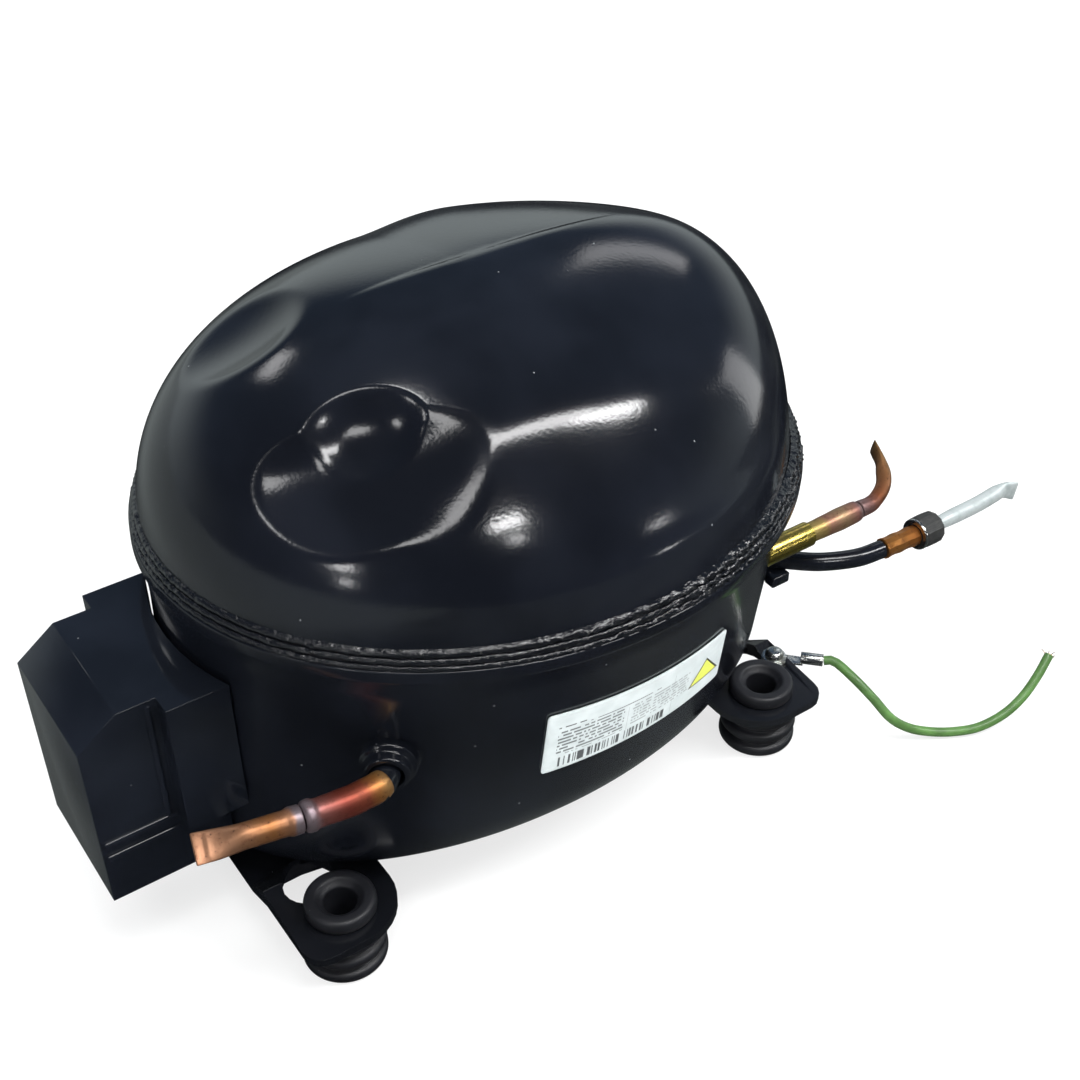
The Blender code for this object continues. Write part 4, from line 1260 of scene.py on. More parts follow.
@dataclass
class RatingLabel:
    """The sticker on the front of the cup."""

    shell: Shell
    top_left: tuple[float, float] = (-0.0286, 0.0952)
    top_right: tuple[float, float] = (0.0405, 0.0908)
    bottom_right: tuple[float, float] = (0.0462, 0.0622)
    bottom_left: tuple[float, float] = (-0.0263, 0.0645)
    corner: float = 0.0014
    film: float = 0.0004
    columns: int = 72
    rows: int = 30

    def build(self) -> None:
        """Lay a grid on the cup, round its corners and thicken it."""
        paper = LabelPrint()
        wide, high = paper.wide / 1000, paper.high / 1000
        bm = bmesh.new()
        bmesh.ops.create_grid(bm, x_segments=self.columns, y_segments=self.rows, size=0.5)
        uv = bm.loops.layers.uv.new("label")
        flat = {}
        for v in bm.verts:
            u, w = (v.co.x + 0.5) * wide, (v.co.y + 0.5) * high
            flat[v] = self._rounded(u, w, wide, high)
        for face in bm.faces:
            for loop in face.loops:
                loop[uv].uv = flat[loop.vert]
        for v, (u, w) in flat.items():
            s, t = u / wide, w / high
            x = mix(mix(self.bottom_left[0], self.bottom_right[0], s),
                    mix(self.top_left[0], self.top_right[0], s), t)
            z = mix(mix(self.bottom_left[1], self.bottom_right[1], s),
                    mix(self.top_left[1], self.top_right[1], s), t)
            v.co = self.shell.side(x, z, 0.0003 + self.film)
        piece = placed("label_film", bm, "shell", paper.build(), ["rating_label"])
        thicken(piece, self.film)

    def _rounded(self, u: float, w: float, wide: float, high: float) -> tuple[float, float]:
        """Pull a point in a corner's square back onto the corner's arc.

        Args:
            u: How far along the label.
            w: How far up it.
            wide: The label's length.
            high: Its height.

        Returns:
            The pulled point.
        """
        r = self.corner
        cx = min(max(u, r), wide - r)
        cy = min(max(w, r), high - r)
        dx, dy = u - cx, w - cy
        if not (dx and dy):
            return u, w
        far = math.hypot(dx, dy)
        square = max(abs(dx), abs(dy))
        return cx + dx / far * square, cy + dy / far * square


# -------------------------------------------------------------------------- feet


@dataclass
class Feet:
    """Two welded saddle plates and the four bellows grommets in them."""

    pitch_x: float = 0.170
    pitch_y: float = 0.1038
    bore: float = 0.00525
    rib: float = 0.0135
    groove: float = 0.0113
    collar: float = 0.0115
    neck: float = 0.0090
    under: float = 0.0182
    over: float = 0.0218
    top: float = 0.0263

    def build(self) -> None:
        """Make the plates and the grommets."""
        paint = Enamel("bracket_enamel", tint=(0.004, 0.0045, 0.006), gloss=0.2, peel=0.4).build()
        for name in ("foot_bracket_left", "foot_bracket_right"):
            bm = copied(name, 0.0006, 2, 30)
            for v in bm.verts:
                v.co.z += self._lift(abs(v.co.y))
            placed(name + "_plate", bm, "shell", paint, [name], sharp=14,
                   centred=False)
        rubber = Moulded("grommet_rubber", (0.007, 0.0075, 0.010), 0.5, 0.0005, 0.00005).build()
        for side_x, end in ((-1, "left"), (1, "right")):
            for side_y, across in ((-1, "front"), (1, "rear")):
                bm = turned(self._section(), 72)
                centre = Vector((side_x * self.pitch_x / 2, side_y * self.pitch_y / 2, 0))
                moved(bm, Matrix.Translation(centre))
                node = f"grommet_{across}_{end}"
                placed(node + "_bellows", bm, "shell", rubber, [node])

    @staticmethod
    def _lift(y: float) -> float:
        """How much flatter the plate is than the CAD's at a distance from the shell's middle.

        Args:
            y: The distance.

        Returns:
            The rise.
        """
        dip, run = 0.0140, 0.011
        early, late = 0.037, 0.029
        straight = dip * min(1.0, max(0.0, (early - y) / run))
        return straight - dip * min(1.0, max(0.0, (late - y) / run))

    def _section(self) -> list[tuple[float, float]]:
        """The grommet's section: three ribs under the plate, a neck, and a collar over it."""
        pitch = self.under / 3
        section = [(self.bore, 0.0, 0), (self.rib - 0.0012, 0.0, 0.0008)]
        for i in range(3):
            base = pitch * i
            section.append((self.rib, base + 0.22 * pitch, 0.0012))
            section.append((self.rib, base + 0.66 * pitch, 0.0012))
            if i < 2:
                section.append((self.groove, base + 0.80 * pitch, 0.0004))
                section.append((self.groove, base + 1.02 * pitch, 0.0004))
        section += [(self.rib - 0.0010, self.under, 0.0004), (self.neck, self.under, 0.0003),
                    (self.neck, self.over, 0.0003), (self.collar - 0.0003, self.over, 0.0005),
                    (self.collar, self.over + 0.0018, 0.0012),
                    (self.collar - 0.0006, self.top, 0.0022),
                    (self.bore + 0.0022, self.top, 0.0008),
                    (self.bore + 0.0012, self.top - 0.0012, 0.0006),
                    (self.bore, self.top - 0.0022, 0.0006), (self.bore, 0.0, 0)]
        return rounded(section)


# ------------------------------------------------------------------------- pipes


@dataclass
class FrontPipe:
    """The process stub: a stepped boss, a painted elbow, a brazed sleeve and a crimped tail."""

    shell: Shell
    seat_x: float = -0.0697
    seat_z: float = 0.0870
    tail_tilt: float = 25.0
    braze: tuple[tuple[float, Colour], ...] = (
        (-0.134, (0.60, 0.30, 0.17)), (-0.120, (0.58, 0.30, 0.17)), (-0.110, (0.58, 0.24, 0.08)),
        (-0.1045, (0.52, 0.26, 0.15)), (-0.1035, (0.36, 0.30, 0.33)), (-0.0990, (0.38, 0.30, 0.33)),
        (-0.0965, (0.42, 0.16, 0.14)), (-0.0900, (0.36, 0.075, 0.05)), (-0.0830, (0.42, 0.10, 0.05)),
        (-0.0795, (0.62, 0.26, 0.07)), (-0.0770, (0.66, 0.36, 0.13)),
    )
    sleeve: Taper = Taper(((0.0, 0.0040), (0.08, 0.0043), (0.5, 0.0043), (0.84, 0.0041),
                           (0.90, 0.0047), (0.96, 0.0046), (1.0, 0.0040)))
    tail: Taper = Taper(((0.0, 0.0040), (0.10, 0.0041), (0.16, 0.0036)),
                        ((0.50, 1.0), (0.86, 1.24), (1.0, 1.28)),
                        ((0.50, 1.0), (0.86, 0.24), (1.0, 0.22)))
    stamp: float = 0.0004

    def build(self) -> None:
        """Make the four pieces."""
        seat = self.shell.side(self.seat_x, self.seat_z)
        out = (self.shell.side(self.seat_x, self.seat_z, 1.0) - seat).normalized()
        black = Enamel("pipe_enamel", gloss=0.16, peel=0.8, dust=0.6).build()
        profile = rounded([(0.0056, -0.0030, 0), (0.0096, -0.0030, 0), (0.0096, -0.0006, 0.0005),
                           (0.0086, 0.0004, 0.0003), (0.0086, 0.0040, 0.0008),
                           (0.0070, 0.0048, 0.0006), (0.0066, 0.0078, 0.0010),
                           (0.0050, 0.0080, 0.0003), (0.0050, 0.0040, 0), (0.0056, -0.0030, 0)])
        placed("front_boss", moved(turned(profile, 72), towards(out, seat)), "shell",
               black, ["front_pipe_boss"])
        elbow = curve_through([seat - out * 0.002, seat + out * 0.006,
                               seat + out * 0.0105 + Vector((-0.0020, 0, 0)),
                               Vector((-0.0790, -0.0716, 0.0876))], 0.0008)
        bm = swept(elbow, even(0.0042), UP, rim=Rim.CLOSED)
        placed("front_elbow", bm, "shell", black, ["front_pipe_elbow"])
        copper = HeatedCopper("front_copper", self.braze).build()
        line = curve_through([(-0.0758, -0.0708, 0.0876), (-0.0790, -0.0716, 0.0876),
                              (-0.0830, -0.0717, 0.0876), (-0.0880, -0.0716, 0.0876),
                              (-0.1010, -0.0705, 0.0885)], 0.0006)
        bm = swept(line, self.sleeve, UP, 40)
        placed("front_sleeve", bm, "shell", copper, ["front_pipe_sleeve"])
        line = curve_through([(-0.1013, -0.0704, 0.0885), (-0.1130, -0.0688, 0.0893),
                              (-0.1220, -0.0668, 0.0892), (-0.1300, -0.0648, 0.0894)], 0.0006)
        tilt = math.radians(self.tail_tilt)
        bm = swept(line, self._stamped, Vector((0, -math.sin(tilt), math.cos(tilt))), 40)
        placed("front_tail", bm, "shell", copper, ["front_pipe_tail"])

    def _stamped(self, share: float) -> Section:
        """The flattened tail, with a stamp pressed into its blade.

        Args:
            share: How far along the tail.

        Returns:
            The cross-section.
        """
        section = self.tail(share)
        press = smooth((share - 0.885) / 0.012) * smooth((0.985 - share) / 0.012)
        return Section(section.across, section.through - self.stamp * press)


@dataclass
class RightPipes:
    """The suction and discharge stubs at the right end."""

    shell: Shell
    upper_z: float = 0.0930
    lower_z: float = 0.0750
    sag: Vector = field(default_factory=lambda: Vector((0.0010, -0.0025, -0.0015)))
    braze: tuple[tuple[float, Colour], ...] = (
        (0.090, (0.62, 0.50, 0.16)), (0.097, (0.64, 0.44, 0.16)), (0.100, (0.58, 0.29, 0.20)),
        (0.106, (0.60, 0.40, 0.22)), (0.112, (0.52, 0.24, 0.19)), (0.1145, (0.40, 0.28, 0.28)),
        (0.120, (0.40, 0.20, 0.17)), (0.124, (0.46, 0.15, 0.06)), (0.133, (0.44, 0.20, 0.08)),
        (0.141, (0.40, 0.25, 0.10)),
    )
    swell: Taper = Taper(((0.0, 0.0034), (0.45, 0.0034), (0.62, 0.0036), (0.78, 0.0038),
                          (0.92, 0.0037), (0.97, 0.0036), (1.0, 0.0031)))
    curl: Taper = Taper(((0.0, 0.0030), (0.18, 0.0028), (0.25, 0.0026)),
                        ((0.62, 1.0), (0.90, 0.45), (1.0, 0.18)),
                        ((0.62, 1.0), (0.90, 1.25), (1.0, 1.35)))
    drawn: Taper = Taper(((0.0, 0.0022), (0.18, 0.0025), (0.34, 0.0028)),
                         ((0.80, 1.0), (0.93, 1.2), (1.0, 1.3)),
                         ((0.80, 1.0), (0.93, 0.5), (1.0, 0.15)))

    def build(self) -> None:
        """Make both stubs."""
        self._upper()
        self._lower()

    def _sunk(self, bm: bmesh.types.BMesh) -> bmesh.types.BMesh:
        """Move a tube's mesh by the stubs' sag."""
        return moved(bm, Matrix.Translation(self.sag))

    def _upper(self) -> None:
        """Brass collar, swollen copper sleeve and a curled, pinched tail."""
        z = self.upper_z
        brass = Metal("brass_band", (0.72, 0.55, 0.12), (0.40, 0.30, 0.10), 0.26).build()
        profile = rounded([(0.0037, 0, 0), (0.0042, 0, 0.0003), (0.0042, 0.0215, 0.0004),
                           (0.0037, 0.0215, 0.0002), (0.0037, 0, 0)])
        seat = Vector((0.0700, -0.0550, z)) + self.sag
        bm = moved(turned(profile, 64), towards(Vector((1, 0, 0)), seat))
        placed("upper_collar", bm, "shell", brass, ["upper_pipe_collar"])
        copper = HeatedCopper("upper_copper", self.braze).build()
        line = curve_through([(0.0760, -0.0550, z), (0.0950, -0.0550, z), (0.1080, -0.0550, z),
                              (0.1140, -0.0549, z)], 0.0008)
        bm = swept(line, self.swell, UP, 40)
        placed("upper_sleeve", self._sunk(bm), "shell", copper, ["upper_pipe_sleeve"])
        line = curve_through([(0.1143, -0.0549, z), (0.1215, -0.0545, z),
                              (0.1300, -0.0505, z + 0.0012), (0.1352, -0.0440, z + 0.0035),
                              (0.1382, -0.0360, z + 0.0060)], 0.0007)
        bm = swept(line, self.curl, UP)
        placed("upper_tail", self._sunk(bm), "shell", copper, ["upper_pipe_tail"])

    def _lower(self) -> None:
        """Painted line, hexed copper adaptor, knurled nut and an aluminium tail."""
        z = self.lower_z
        black = bpy.data.materials["pipe_enamel"]
        bm = copied("pipe_support_block", 0.0007, 3)
        placed("support_block", bm, "shell", black, ["pipe_support_block"],
               centred=False)
        line = curve_through([(0.0860, -0.0385, z), (0.0937, -0.0460, z), (0.1022, -0.0530, z),
                              (0.1136, -0.0582, z), (0.1240, -0.0596, z)], 0.0008)
        bm = swept(line, even(0.0032), UP, 40)
        placed("lower_line", self._sunk(bm), "shell", black, ["lower_pipe_line"])
        orange = HeatedCopper("adaptor_copper", (
            (0.120, (0.62, 0.24, 0.05)), (0.130, (0.66, 0.28, 0.07)), (0.141, (0.60, 0.20, 0.04))),
            gloss=0.24).build()
        line = curve_through([(0.1243, -0.0596, z), (0.1330, -0.0600, z), (0.1393, -0.0603, z)],
                             0.0007)
        bm = swept(line, self._crimped, UP, 12)
        placed("lower_adaptor", self._sunk(bm), "shell", orange,
               ["lower_pipe_adaptor"], sharp=20)
        nut = Vector((0.1396, -0.0603, z))
        nut_seat = towards(Vector((1, 0, 0)), nut + self.sag)
        profile = rounded([(0.0029, 0, 0), (0.0050, 0, 0.0003), (0.0058, 0.0010, 0.0005),
                           (0.0059, 0.0048, 0), (0.0058, 0.0082, 0.0006), (0.0048, 0.0092, 0.0004),
                           (0.0029, 0.0092, 0), (0.0029, 0, 0)])
        bm = moved(turned(profile, 12), nut_seat)
        placed("lower_nut", bm, "shell", Knurled("nut_steel").build(),
               ["lower_pipe_nut"], sharp=24)
        shine = Metal("bright_steel", (0.62, 0.62, 0.60), (0.35, 0.33, 0.30), 0.22).build()
        profile = rounded([(0.0040, -0.0006, 0), (0.0056, -0.0006, 0.0003),
                           (0.0057, 0.0004, 0.0003), (0.0050, 0.0006, 0), (0.0040, -0.0006, 0)])
        bm = moved(turned(profile, 48), nut_seat)
        placed("nut_washer", bm, "shell", shine)
        alloy = Metal("tube_aluminium", (0.42, 0.46, 0.46), (0.30, 0.34, 0.34), 0.42,
                      (0.05, 1, 1), metallic=0.45).build()
        line = curve_through([nut + Vector((0.003, 0, 0)), nut + Vector((0.012, 0, 0)),
                              (0.1700, -0.0603, z), (0.1830, -0.0598, z + 0.0003),
                              (0.1883, -0.0622, z - 0.0005)], 0.0008)
        bm = swept(line, self.drawn, Vector((0, 1, 0)), 40)
        placed("lower_tail", self._sunk(bm), "shell", alloy, ["lower_pipe_tail"])

    @staticmethod
    def _crimped(share: float) -> Section:
        """A collar with two pressed rings."""
        size = 0.0038 - 0.0003 * abs(math.sin(math.pi * 2.5 * share))
        return Section(size, size)


# ------------------------------------------------------------------ terminal cover


@dataclass
class TerminalCover:
    """The gloss black moulding over the terminals, with its ribs."""

    end: float = 0.1439
    step: float = 0.1195
    top: float = 0.1052
    front: float = 0.0224

    def build(self) -> None:
        """Make the cover and the ribs on it."""
        gloss = Enamel("cover_gloss", tint=(0.0045, 0.0055, 0.008), gloss=0.06, peel=0.12,
                       dust=0.5).build()
        bm = copied("terminal_cover", 0.0015, 4, 28)
        placed("cover_moulding", bm, "terminal_cover", gloss,
               ["terminal_cover"], centred=False)
        self._rib("cover_rib_upper", gloss, 0.0590, 0.0011)
        self._rib("cover_rib_lower", gloss, 0.0535, 0.0012)
        self._edge("cover_rib_side", gloss)

    def _rib(self, name: str, gloss: bpy.types.Material, z: float, radius: float) -> None:
        """A level half-round rib across the front of the nose.

        Args:
            name: The rib's name.
            gloss: The cover's finish.
            z: Its height.
            radius: Its radius.
        """
        line = [Vector((-self.end + 0.0012 + (self.end - self.step - 0.0016) * i / 24,
                        -self.front - 0.0001, z)) for i in range(25)]
        bm = swept(line, even(radius), UP, 20, rim=Rim.CLOSED)
        placed(name, bm, "terminal_cover", gloss)

    def _edge(self, name: str, gloss: bpy.types.Material) -> None:
        """The upright rib where the nose meets the wide part.

        Args:
            name: The rib's name.
            gloss: The cover's finish.
        """
        x = -self.step - 0.0030
        line = [Vector((x, -self.front - 0.0001, mix(0.0600, self.top - 0.0012, i / 24)))
                for i in range(25)]
        bm = swept(line, even(0.0010), Vector((0, 1, 0)), 20,
                   rim=Rim.CLOSED)
        placed(name, bm, "terminal_cover", gloss)


# -------------------------------------------------------------------- earth lead


@dataclass
class EarthLead:
    """The earth screw, its ring terminal and the free green wire."""

    x: float = 0.0993
    y: float = -0.0428
    plate: float = 0.0215
    wire: float = 0.0034
    rise: float = 0.0024
    barrel: float = 0.0175
    gap: float = 0.0003

    @property
    def way(self) -> Vector:
        """The direction in which the barrel points."""
        return Vector((0.70, -0.72, 0)).normalized()

    def route(self) -> list[Vector]:
        """The wire's centreline, from the barrel to its bare end."""
        start = (Vector((self.x, self.y, self.plate + self.rise))
                 + self.way * (self.barrel + self.gap))
        points = [start, start + self.way * 0.004 + Vector((0, 0, 0.0001)),
                  (0.1163, -0.0675, 0.0212), (0.1191, -0.0750, 0.0160), (0.1222, -0.0815, 0.0100),
                  (0.1281, -0.0858, 0.0052), (0.1353, -0.0900, 0.0027), (0.1428, -0.0944, 0.0021),
                  (0.1514, -0.0982, 0.0026), (0.1618, -0.1001, 0.0048), (0.1708, -0.1001, 0.0085),
                  (0.1788, -0.0988, 0.0135), (0.1865, -0.0965, 0.0185)]
        return [p + Vector((AXIS_X, 0, 0)) for p in curve_through(points, 0.0024)]

    def build(self) -> None:
        """Make the screw, the ring, the wire and its frayed end."""
        zinc = Metal("zinc_plate", (0.66, 0.68, 0.66), (0.40, 0.40, 0.36), 0.24,
                     (1, 1, 1), 0.00005).build()
        self._screw(zinc)
        ring = self._ring(zinc)
        route = self.route()
        curve = bpy.data.curves.new("earth_lead", "CURVE")
        curve.dimensions = "3D"
        curve.bevel_depth = self.wire / 2
        curve.bevel_resolution = 6
        curve.use_fill_caps = True
        spline = curve.splines.new("POLY")
        spline.points.add(len(route) - 1)
        for target, p in zip(spline.points, route):
            target.co = (*p, 1.0)
        lead = bpy.data.objects.new("earth_lead", curve)
        bpy.context.scene.collection.objects.link(lead)
        curve.materials.append(Insulation().build())
        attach(lead, "shell")
        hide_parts("earth_wire")
        length = sum((b - a).length for a, b in zip(route, route[1:]))
        strands = self._strands(route)
        LOG.info("earth lead: %.0f mm", length * 1000)

    def _screw(self, zinc: bpy.types.Material) -> None:
        """A pan-head screw with a small round socket and a washer.

        Args:
            zinc: The plated finish.
        """
        top = self.plate
        profile = rounded([(0.0, top - 0.006, 0), (0.0017, top - 0.006, 0.0004),
                           (0.0017, top + 0.0012, 0), (0.0044, top + 0.0012, 0.0002),
                           (0.0044, top + 0.0018, 0.0002), (0.0034, top + 0.0019, 0),
                           (0.0034, top + 0.0030, 0.0006), (0.0024, top + 0.0043, 0.0012),
                           (0.0006, top + 0.0045, 0), (0.0005, top + 0.0034, 0),
                           (0.0, top + 0.0034, 0)])
        bm = moved(turned(profile, 48), Matrix.Translation((self.x, self.y, 0)))
        placed("earth_screw_head", bm, "shell", zinc, ["earth_screw"])

    def _ring(self, zinc: bpy.types.Material) -> bpy.types.Object:
        """The crimped ring terminal: the CAD shape with its edges rounded.

        Args:
            zinc: The plated finish.

        Returns:
            The piece.
        """
        bm = copied("earth_ring_terminal", 0.00025, 2, 35)
        return placed("earth_ring", bm, "shell", zinc, ["earth_ring_terminal"],
                      centred=False)

    def _strands(self, route: Sequence[Vector]) -> bpy.types.Object:
        """A tuft of copper strands at the wire's bare end.

        Args:
            route: The wire's centreline.

        Returns:
            The piece.
        """
        copper = Metal("strand_copper", (0.62, 0.36, 0.20), (0.40, 0.30, 0.15), 0.3).build()
        tip, way = route[-1], (route[-1] - route[-3]).normalized()
        side = way.orthogonal().normalized()
        whole = bmesh.new()
        for i in range(9):
            turn = Matrix.Rotation(math.tau * i / 9, 3, way) @ side
            start = tip + turn * (0.0009 if i else 0.0) - way * 0.001
            line = [start + way * 0.0004 * k + turn * 0.00010 * k * k * (i % 3) / 2
                    for k in range(6)]
            strand = swept(line, even(0.00016), Vector((0.3, 0.2, 1)), 6,
                           rim=Rim.CLOSED)
            held = bpy.data.meshes.new("strand")
            strand.to_mesh(held)
            strand.free()
            whole.from_mesh(held)
            bpy.data.meshes.remove(held)
        return placed("earth_strands", whole, "shell", copper, centred=False)


# --------------------------------------------------------------------- internals


@dataclass
class Internals:
    """The CAD pieces inside the shell and under the cover, which keep their CAD shapes."""

    finishes: dict[str, object] = field(default_factory=lambda: {
        "stator_core": Laminations("stator_steel"),
        "rotor_core": Casting("rotor_alloy", (0.55, 0.57, 0.58)),
        "stator_winding_lower": Windings("winding_lower"),
        "stator_winding_upper": Windings("winding_upper"),
        "crankcase": Casting("crankcase_iron", (0.24, 0.24, 0.25)),
        "crankshaft": Metal("shaft_iron", (0.40, 0.40, 0.41), (0.25, 0.25, 0.26), 0.3),
        "cylinder_head": Casting("head_alloy", (0.50, 0.52, 0.53)),
        "starter_relay": Moulded("relay_nylon", (0.66, 0.65, 0.60), 0.4, 0.0008, 0.00004, 0.06),
        "overload_protector": Moulded("overload_phenolic", (0.02, 0.02, 0.02), 0.35),
        "suction_muffler": Moulded("muffler_plastic", (0.72, 0.70, 0.62), 0.45, 0.0008, 0.00004,
                                   0.06),
    })

    def build(self) -> None:
        """Dress every CAD node that is still shown."""
        steel = Metal("plain_steel", (0.46, 0.46, 0.47), (0.30, 0.29, 0.28), 0.32).build()
        for name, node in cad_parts.items():
            if node.hide_render:
                continue
            finish = self.finishes.get(name)
            material = finish.build() if finish else steel
            node.data.materials.clear()
            node.data.materials.append(material)
            LOG.info("dressed CAD node %s with %s", name, material.name)


# ------------------------------------------------------------------------- studio


@dataclass(frozen=True)
class Lamp:
    """A lamp that shows in the gloss: where it hangs in degrees, its sides and its watts."""

    name: str
    elevation: float
    azimuth: float
    size: tuple[float, float]
    power: float
    turn: float = 0.0
    distance: float = 1.9


@dataclass(frozen=True)
class Fill:
    """A broad lamp that only lights matt surfaces."""

    name: str
    place: Point
    size: float
    power: float


@dataclass
class Studio:
    """Camera, floor, lamps and the dim room that the gloss reflects."""

    azimuth: float = -34.7
    elevation: float = 38.0
    distance: float = 0.5243
    lens: float = 51.77
    aim: Point = (0.0257, 0.00044, 0.0806)
    shift_y: float = 0.0018
    lamps: tuple[Lamp, ...] = (
        Lamp("key", 35.5, -4.0, (0.30, 0.10), 3.6, distance=1.7),
        Lamp("key_low", 29.0, -3.0, (0.12, 0.06), 0.6, distance=1.7),
        Lamp("ceiling_strip", 61.0, 29.0, (2.0, 0.28), 33.0, -46.0, distance=1.95),
        Lamp("shoulder", 45.0, 47.0, (0.50, 0.16), 3.4, -46.0, distance=1.95),
        Lamp("ceiling_left", 56.0, -52.0, (0.42, 0.30), 3.2),
        Lamp("ceiling_far", 40.0, -86.0, (0.26, 0.16), 1.3),
        Lamp("overhead", 80.0, -150.0, (0.22, 0.22), 2.6),
        Lamp("window_left", 17.0, -62.0, (0.22, 0.09), 1.6),
        Lamp("window_left_low", 9.0, -60.0, (0.10, 0.06), 0.6),
        Lamp("window_front", 10.0, 37.0, (0.16, 0.10), 0.8),
        Lamp("window_right", 10.0, 80.0, (0.40, 0.80), 2.6),
        Lamp("back_left", 39.0, -164.0, (0.30, 0.20), 1.0),
        Lamp("back_right", 33.0, 122.0, (0.70, 0.20), 1.1, 30.0),
    )
    fills: tuple[Fill, ...] = (
        Fill("fill_top", (0.0, 0.0, 2.6), 3.6, 120.0),
        Fill("fill_left", (-2.2, -1.8, 1.4), 1.8, 22.0),
        Fill("fill_right", (2.2, -1.4, 1.4), 1.8, 22.0),
    )

    def build(self) -> None:
        """Make the camera, then the floor, the lamps and the room."""
        self._camera()
        self._floor()
        self._room()
        for lamp in self.lamps:
            self._lamp(lamp)
        for fill in self.fills:
            self._fill(fill)
        bpy.context.scene.view_settings.view_transform = "Standard"

    def _camera(self) -> None:
        """Look down at the front left corner."""
        a, e = math.radians(self.azimuth), math.radians(self.elevation)
        back = Vector((math.sin(a) * math.cos(e), -math.cos(a) * math.cos(e), math.sin(e)))
        data = bpy.data.cameras.new("camera")
        data.sensor_width = 36.0
        data.lens = self.lens
        data.shift_y = self.shift_y
        data.clip_start = 0.01
        camera = bpy.data.objects.new("camera", data)
        bpy.context.scene.collection.objects.link(camera)
        camera.location = Vector(self.aim) + Vector((AXIS_X, 0, 0)) + back * self.distance
        camera.rotation_euler = (-back).to_track_quat("-Z", "Y").to_euler()
        bpy.context.scene.camera = camera

    def _floor(self) -> None:
        """A wide pale floor under the feet."""
        bm = bmesh.new()
        bmesh.ops.create_grid(bm, x_segments=4, y_segments=4, size=20.0)
        mesh = bpy.data.meshes.new("floor")
        bm.to_mesh(mesh)
        bm.free()
        mesh.materials.append(self._paper())
        floor = bpy.data.objects.new("floor", mesh)
        floor.location = (0, 0, -0.0003)
        bpy.context.scene.collection.objects.link(floor)

    def _paper(self) -> bpy.types.Material:
        """White paper that glows a little where it is seen directly; in the gloss it shows a painted
        reflection, dim, with paler patches and paler towards the front and the left.
        """
        s = Shader("floor_paper")
        cloud = s.noise(0.4, 2.0)
        base = s.mix(cloud, (0.90, 0.905, 0.90), (0.93, 0.935, 0.93))
        seen = s.node("ShaderNodeLightPath", output="Is Camera Ray")
        mirrored = s.node("ShaderNodeLightPath", output="Is Glossy Ray")
        paper = s.node("ShaderNodeBsdfDiffuse", inputs={"Color": base})
        glow = s.node("ShaderNodeEmission", inputs={"Color": (1.0, 1.0, 1.0, 1.0)})
        x, y, _ = s.axes()
        # Painted reflection: what the gloss shows of the floor is the emission below, not the lit
        # paper. It is dark, and paler in noise patches, towards the front and towards the left.
        painted_reflection_side = (y * 0.5 - x).ramp(0.17, 0.42)
        painted_reflection_patch = s.noise(0.16, 1.0).ramp(0.42, 0.72)
        far = (y * -1.0).ramp(0.16, 0.60)
        shade = s.mix(painted_reflection_patch * 0.6 + far * 0.3, (0.008, 0.009, 0.011), (0.20, 0.22, 0.215))
        shade = s.mix(painted_reflection_side, shade, (0.36, 0.40, 0.395))
        dim = s.node("ShaderNodeEmission", inputs={"Color": shade})
        lit = s.node("ShaderNodeMixShader", inputs={0: seen * 0.72, 1: paper, 2: glow})
        whole = s.node("ShaderNodeMixShader", inputs={0: mirrored, 1: lit, 2: dim})
        out = s.tree.nodes.new("ShaderNodeOutputMaterial")
        s.tree.links.new(whole.socket, out.inputs[0])
        return s.material

    def _room(self) -> None:
        """A dim navy room with a pale band low at the back, and pale where it is seen directly."""
        world = bpy.data.worlds.new("room")
        bpy.context.scene.world = world
        s = Shader("room", world)
        x, y, z = s.axes("Generated")
        behind = (x * 0.57 + y * 0.82).ramp(-0.5, 0.9)
        low = 1 - z.ramp(0.10, 0.42)
        sky = s.mix(behind, (0.006, 0.008, 0.018), (0.055, 0.088, 0.14))
        sky = s.mix(low * behind * 0.9, sky, (0.72, 0.80, 0.80))
        seen = s.node("ShaderNodeLightPath", output="Is Camera Ray")
        sky = s.mix(seen, sky, (1.0, 1.0, 1.0))
        back = s.node("ShaderNodeBackground", inputs={"Color": sky, "Strength": 1.0})
        out = s.tree.nodes.new("ShaderNodeOutputWorld")
        s.tree.links.new(back.socket, out.inputs[0])

    def _aimed(self, name: str, place: Vector, size: tuple[float, float],
               power: float) -> bpy.types.Object:
        """A rectangular lamp that points at the compressor.

        Args:
            name: The lamp's name.
            place: Where it hangs.
            size: Its two sides.
            power: Its power in watts.

        Returns:
            The lamp.
        """
        data = bpy.data.lights.new(name, "AREA")
        data.shape = "RECTANGLE"
        data.size, data.size_y = size
        data.energy = power
        lamp = bpy.data.objects.new(name, data)
        lamp.location = place
        aim = place - Vector((0, 0, 0.12))
        lamp.rotation_euler = aim.to_track_quat("Z", "Y").to_euler()
        bpy.context.scene.collection.objects.link(lamp)
        return lamp

    def _lamp(self, lamp: Lamp) -> None:
        """Place a lamp that shows in the gloss.

        Args:
            lamp: Where it hangs and how strong it is.
        """
        a, e = math.radians(lamp.azimuth), math.radians(lamp.elevation)
        way = Vector((math.sin(a) * math.cos(e), -math.cos(a) * math.cos(e), math.sin(e)))
        place = Vector((0, 0, 0.15)) + way * lamp.distance
        made = self._aimed(lamp.name, place, lamp.size, lamp.power)
        made.rotation_euler.rotate_axis("Z", math.radians(lamp.turn))

    def _fill(self, fill: Fill) -> None:
        """Place a broad lamp that the gloss doesn't show.

        Args:
            fill: Where it hangs and how strong it is.
        """
        made = self._aimed(fill.name, Vector(fill.place), (fill.size, fill.size), fill.power)
        made.visible_glossy = False


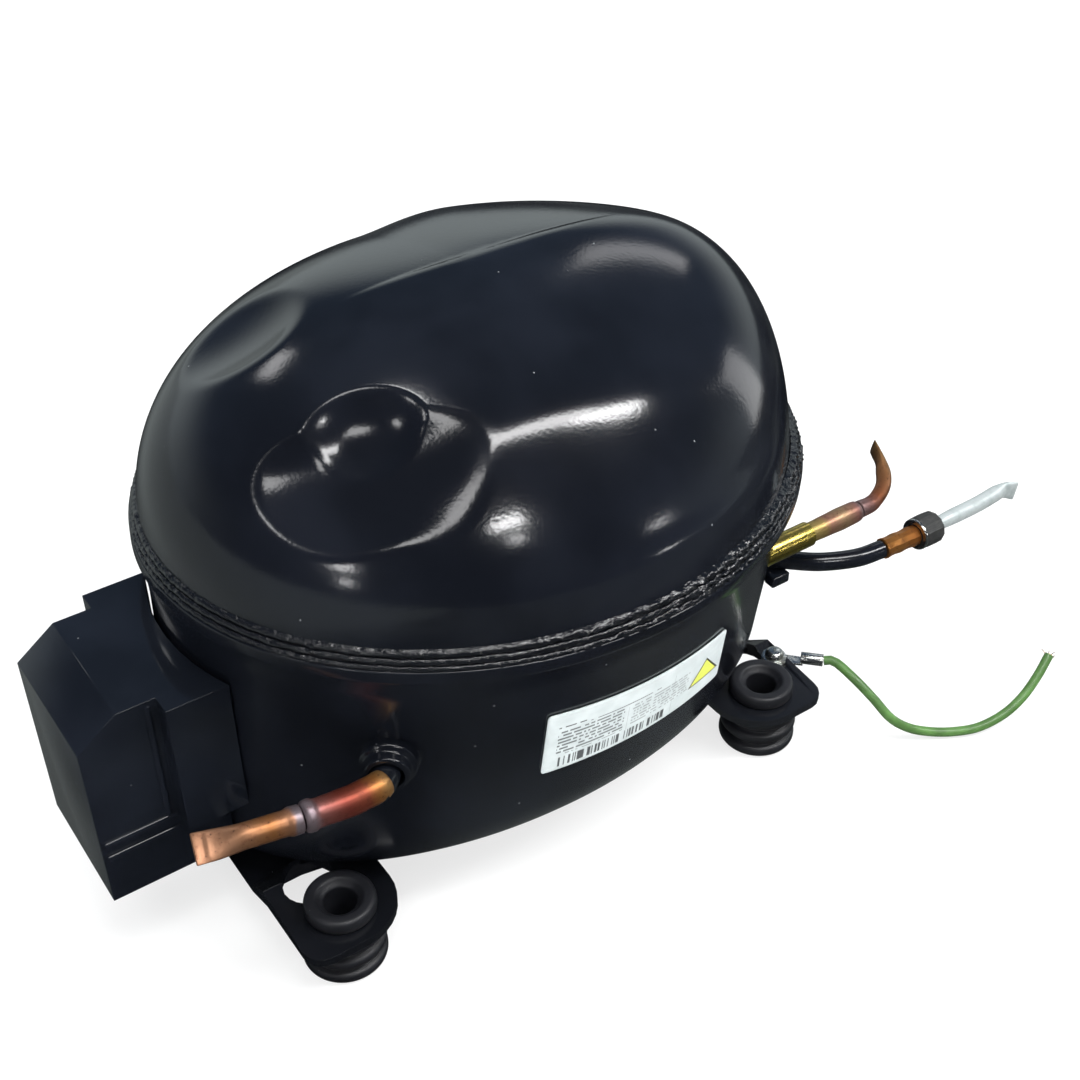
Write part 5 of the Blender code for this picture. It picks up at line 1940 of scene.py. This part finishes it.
def main() -> None:
    """Build the scene in order."""
    logging.basicConfig(level=logging.INFO, format="%(message)s")
    Studio().build()
    EarthLead().build()
    shell = Shell()
    shell.build()
    RatingLabel(shell).build()
    Feet().build()
    FrontPipe(shell).build()
    RightPipes(shell).build()
    TerminalCover().build()
    Internals().build()


if __name__ == "__main__":
    main()
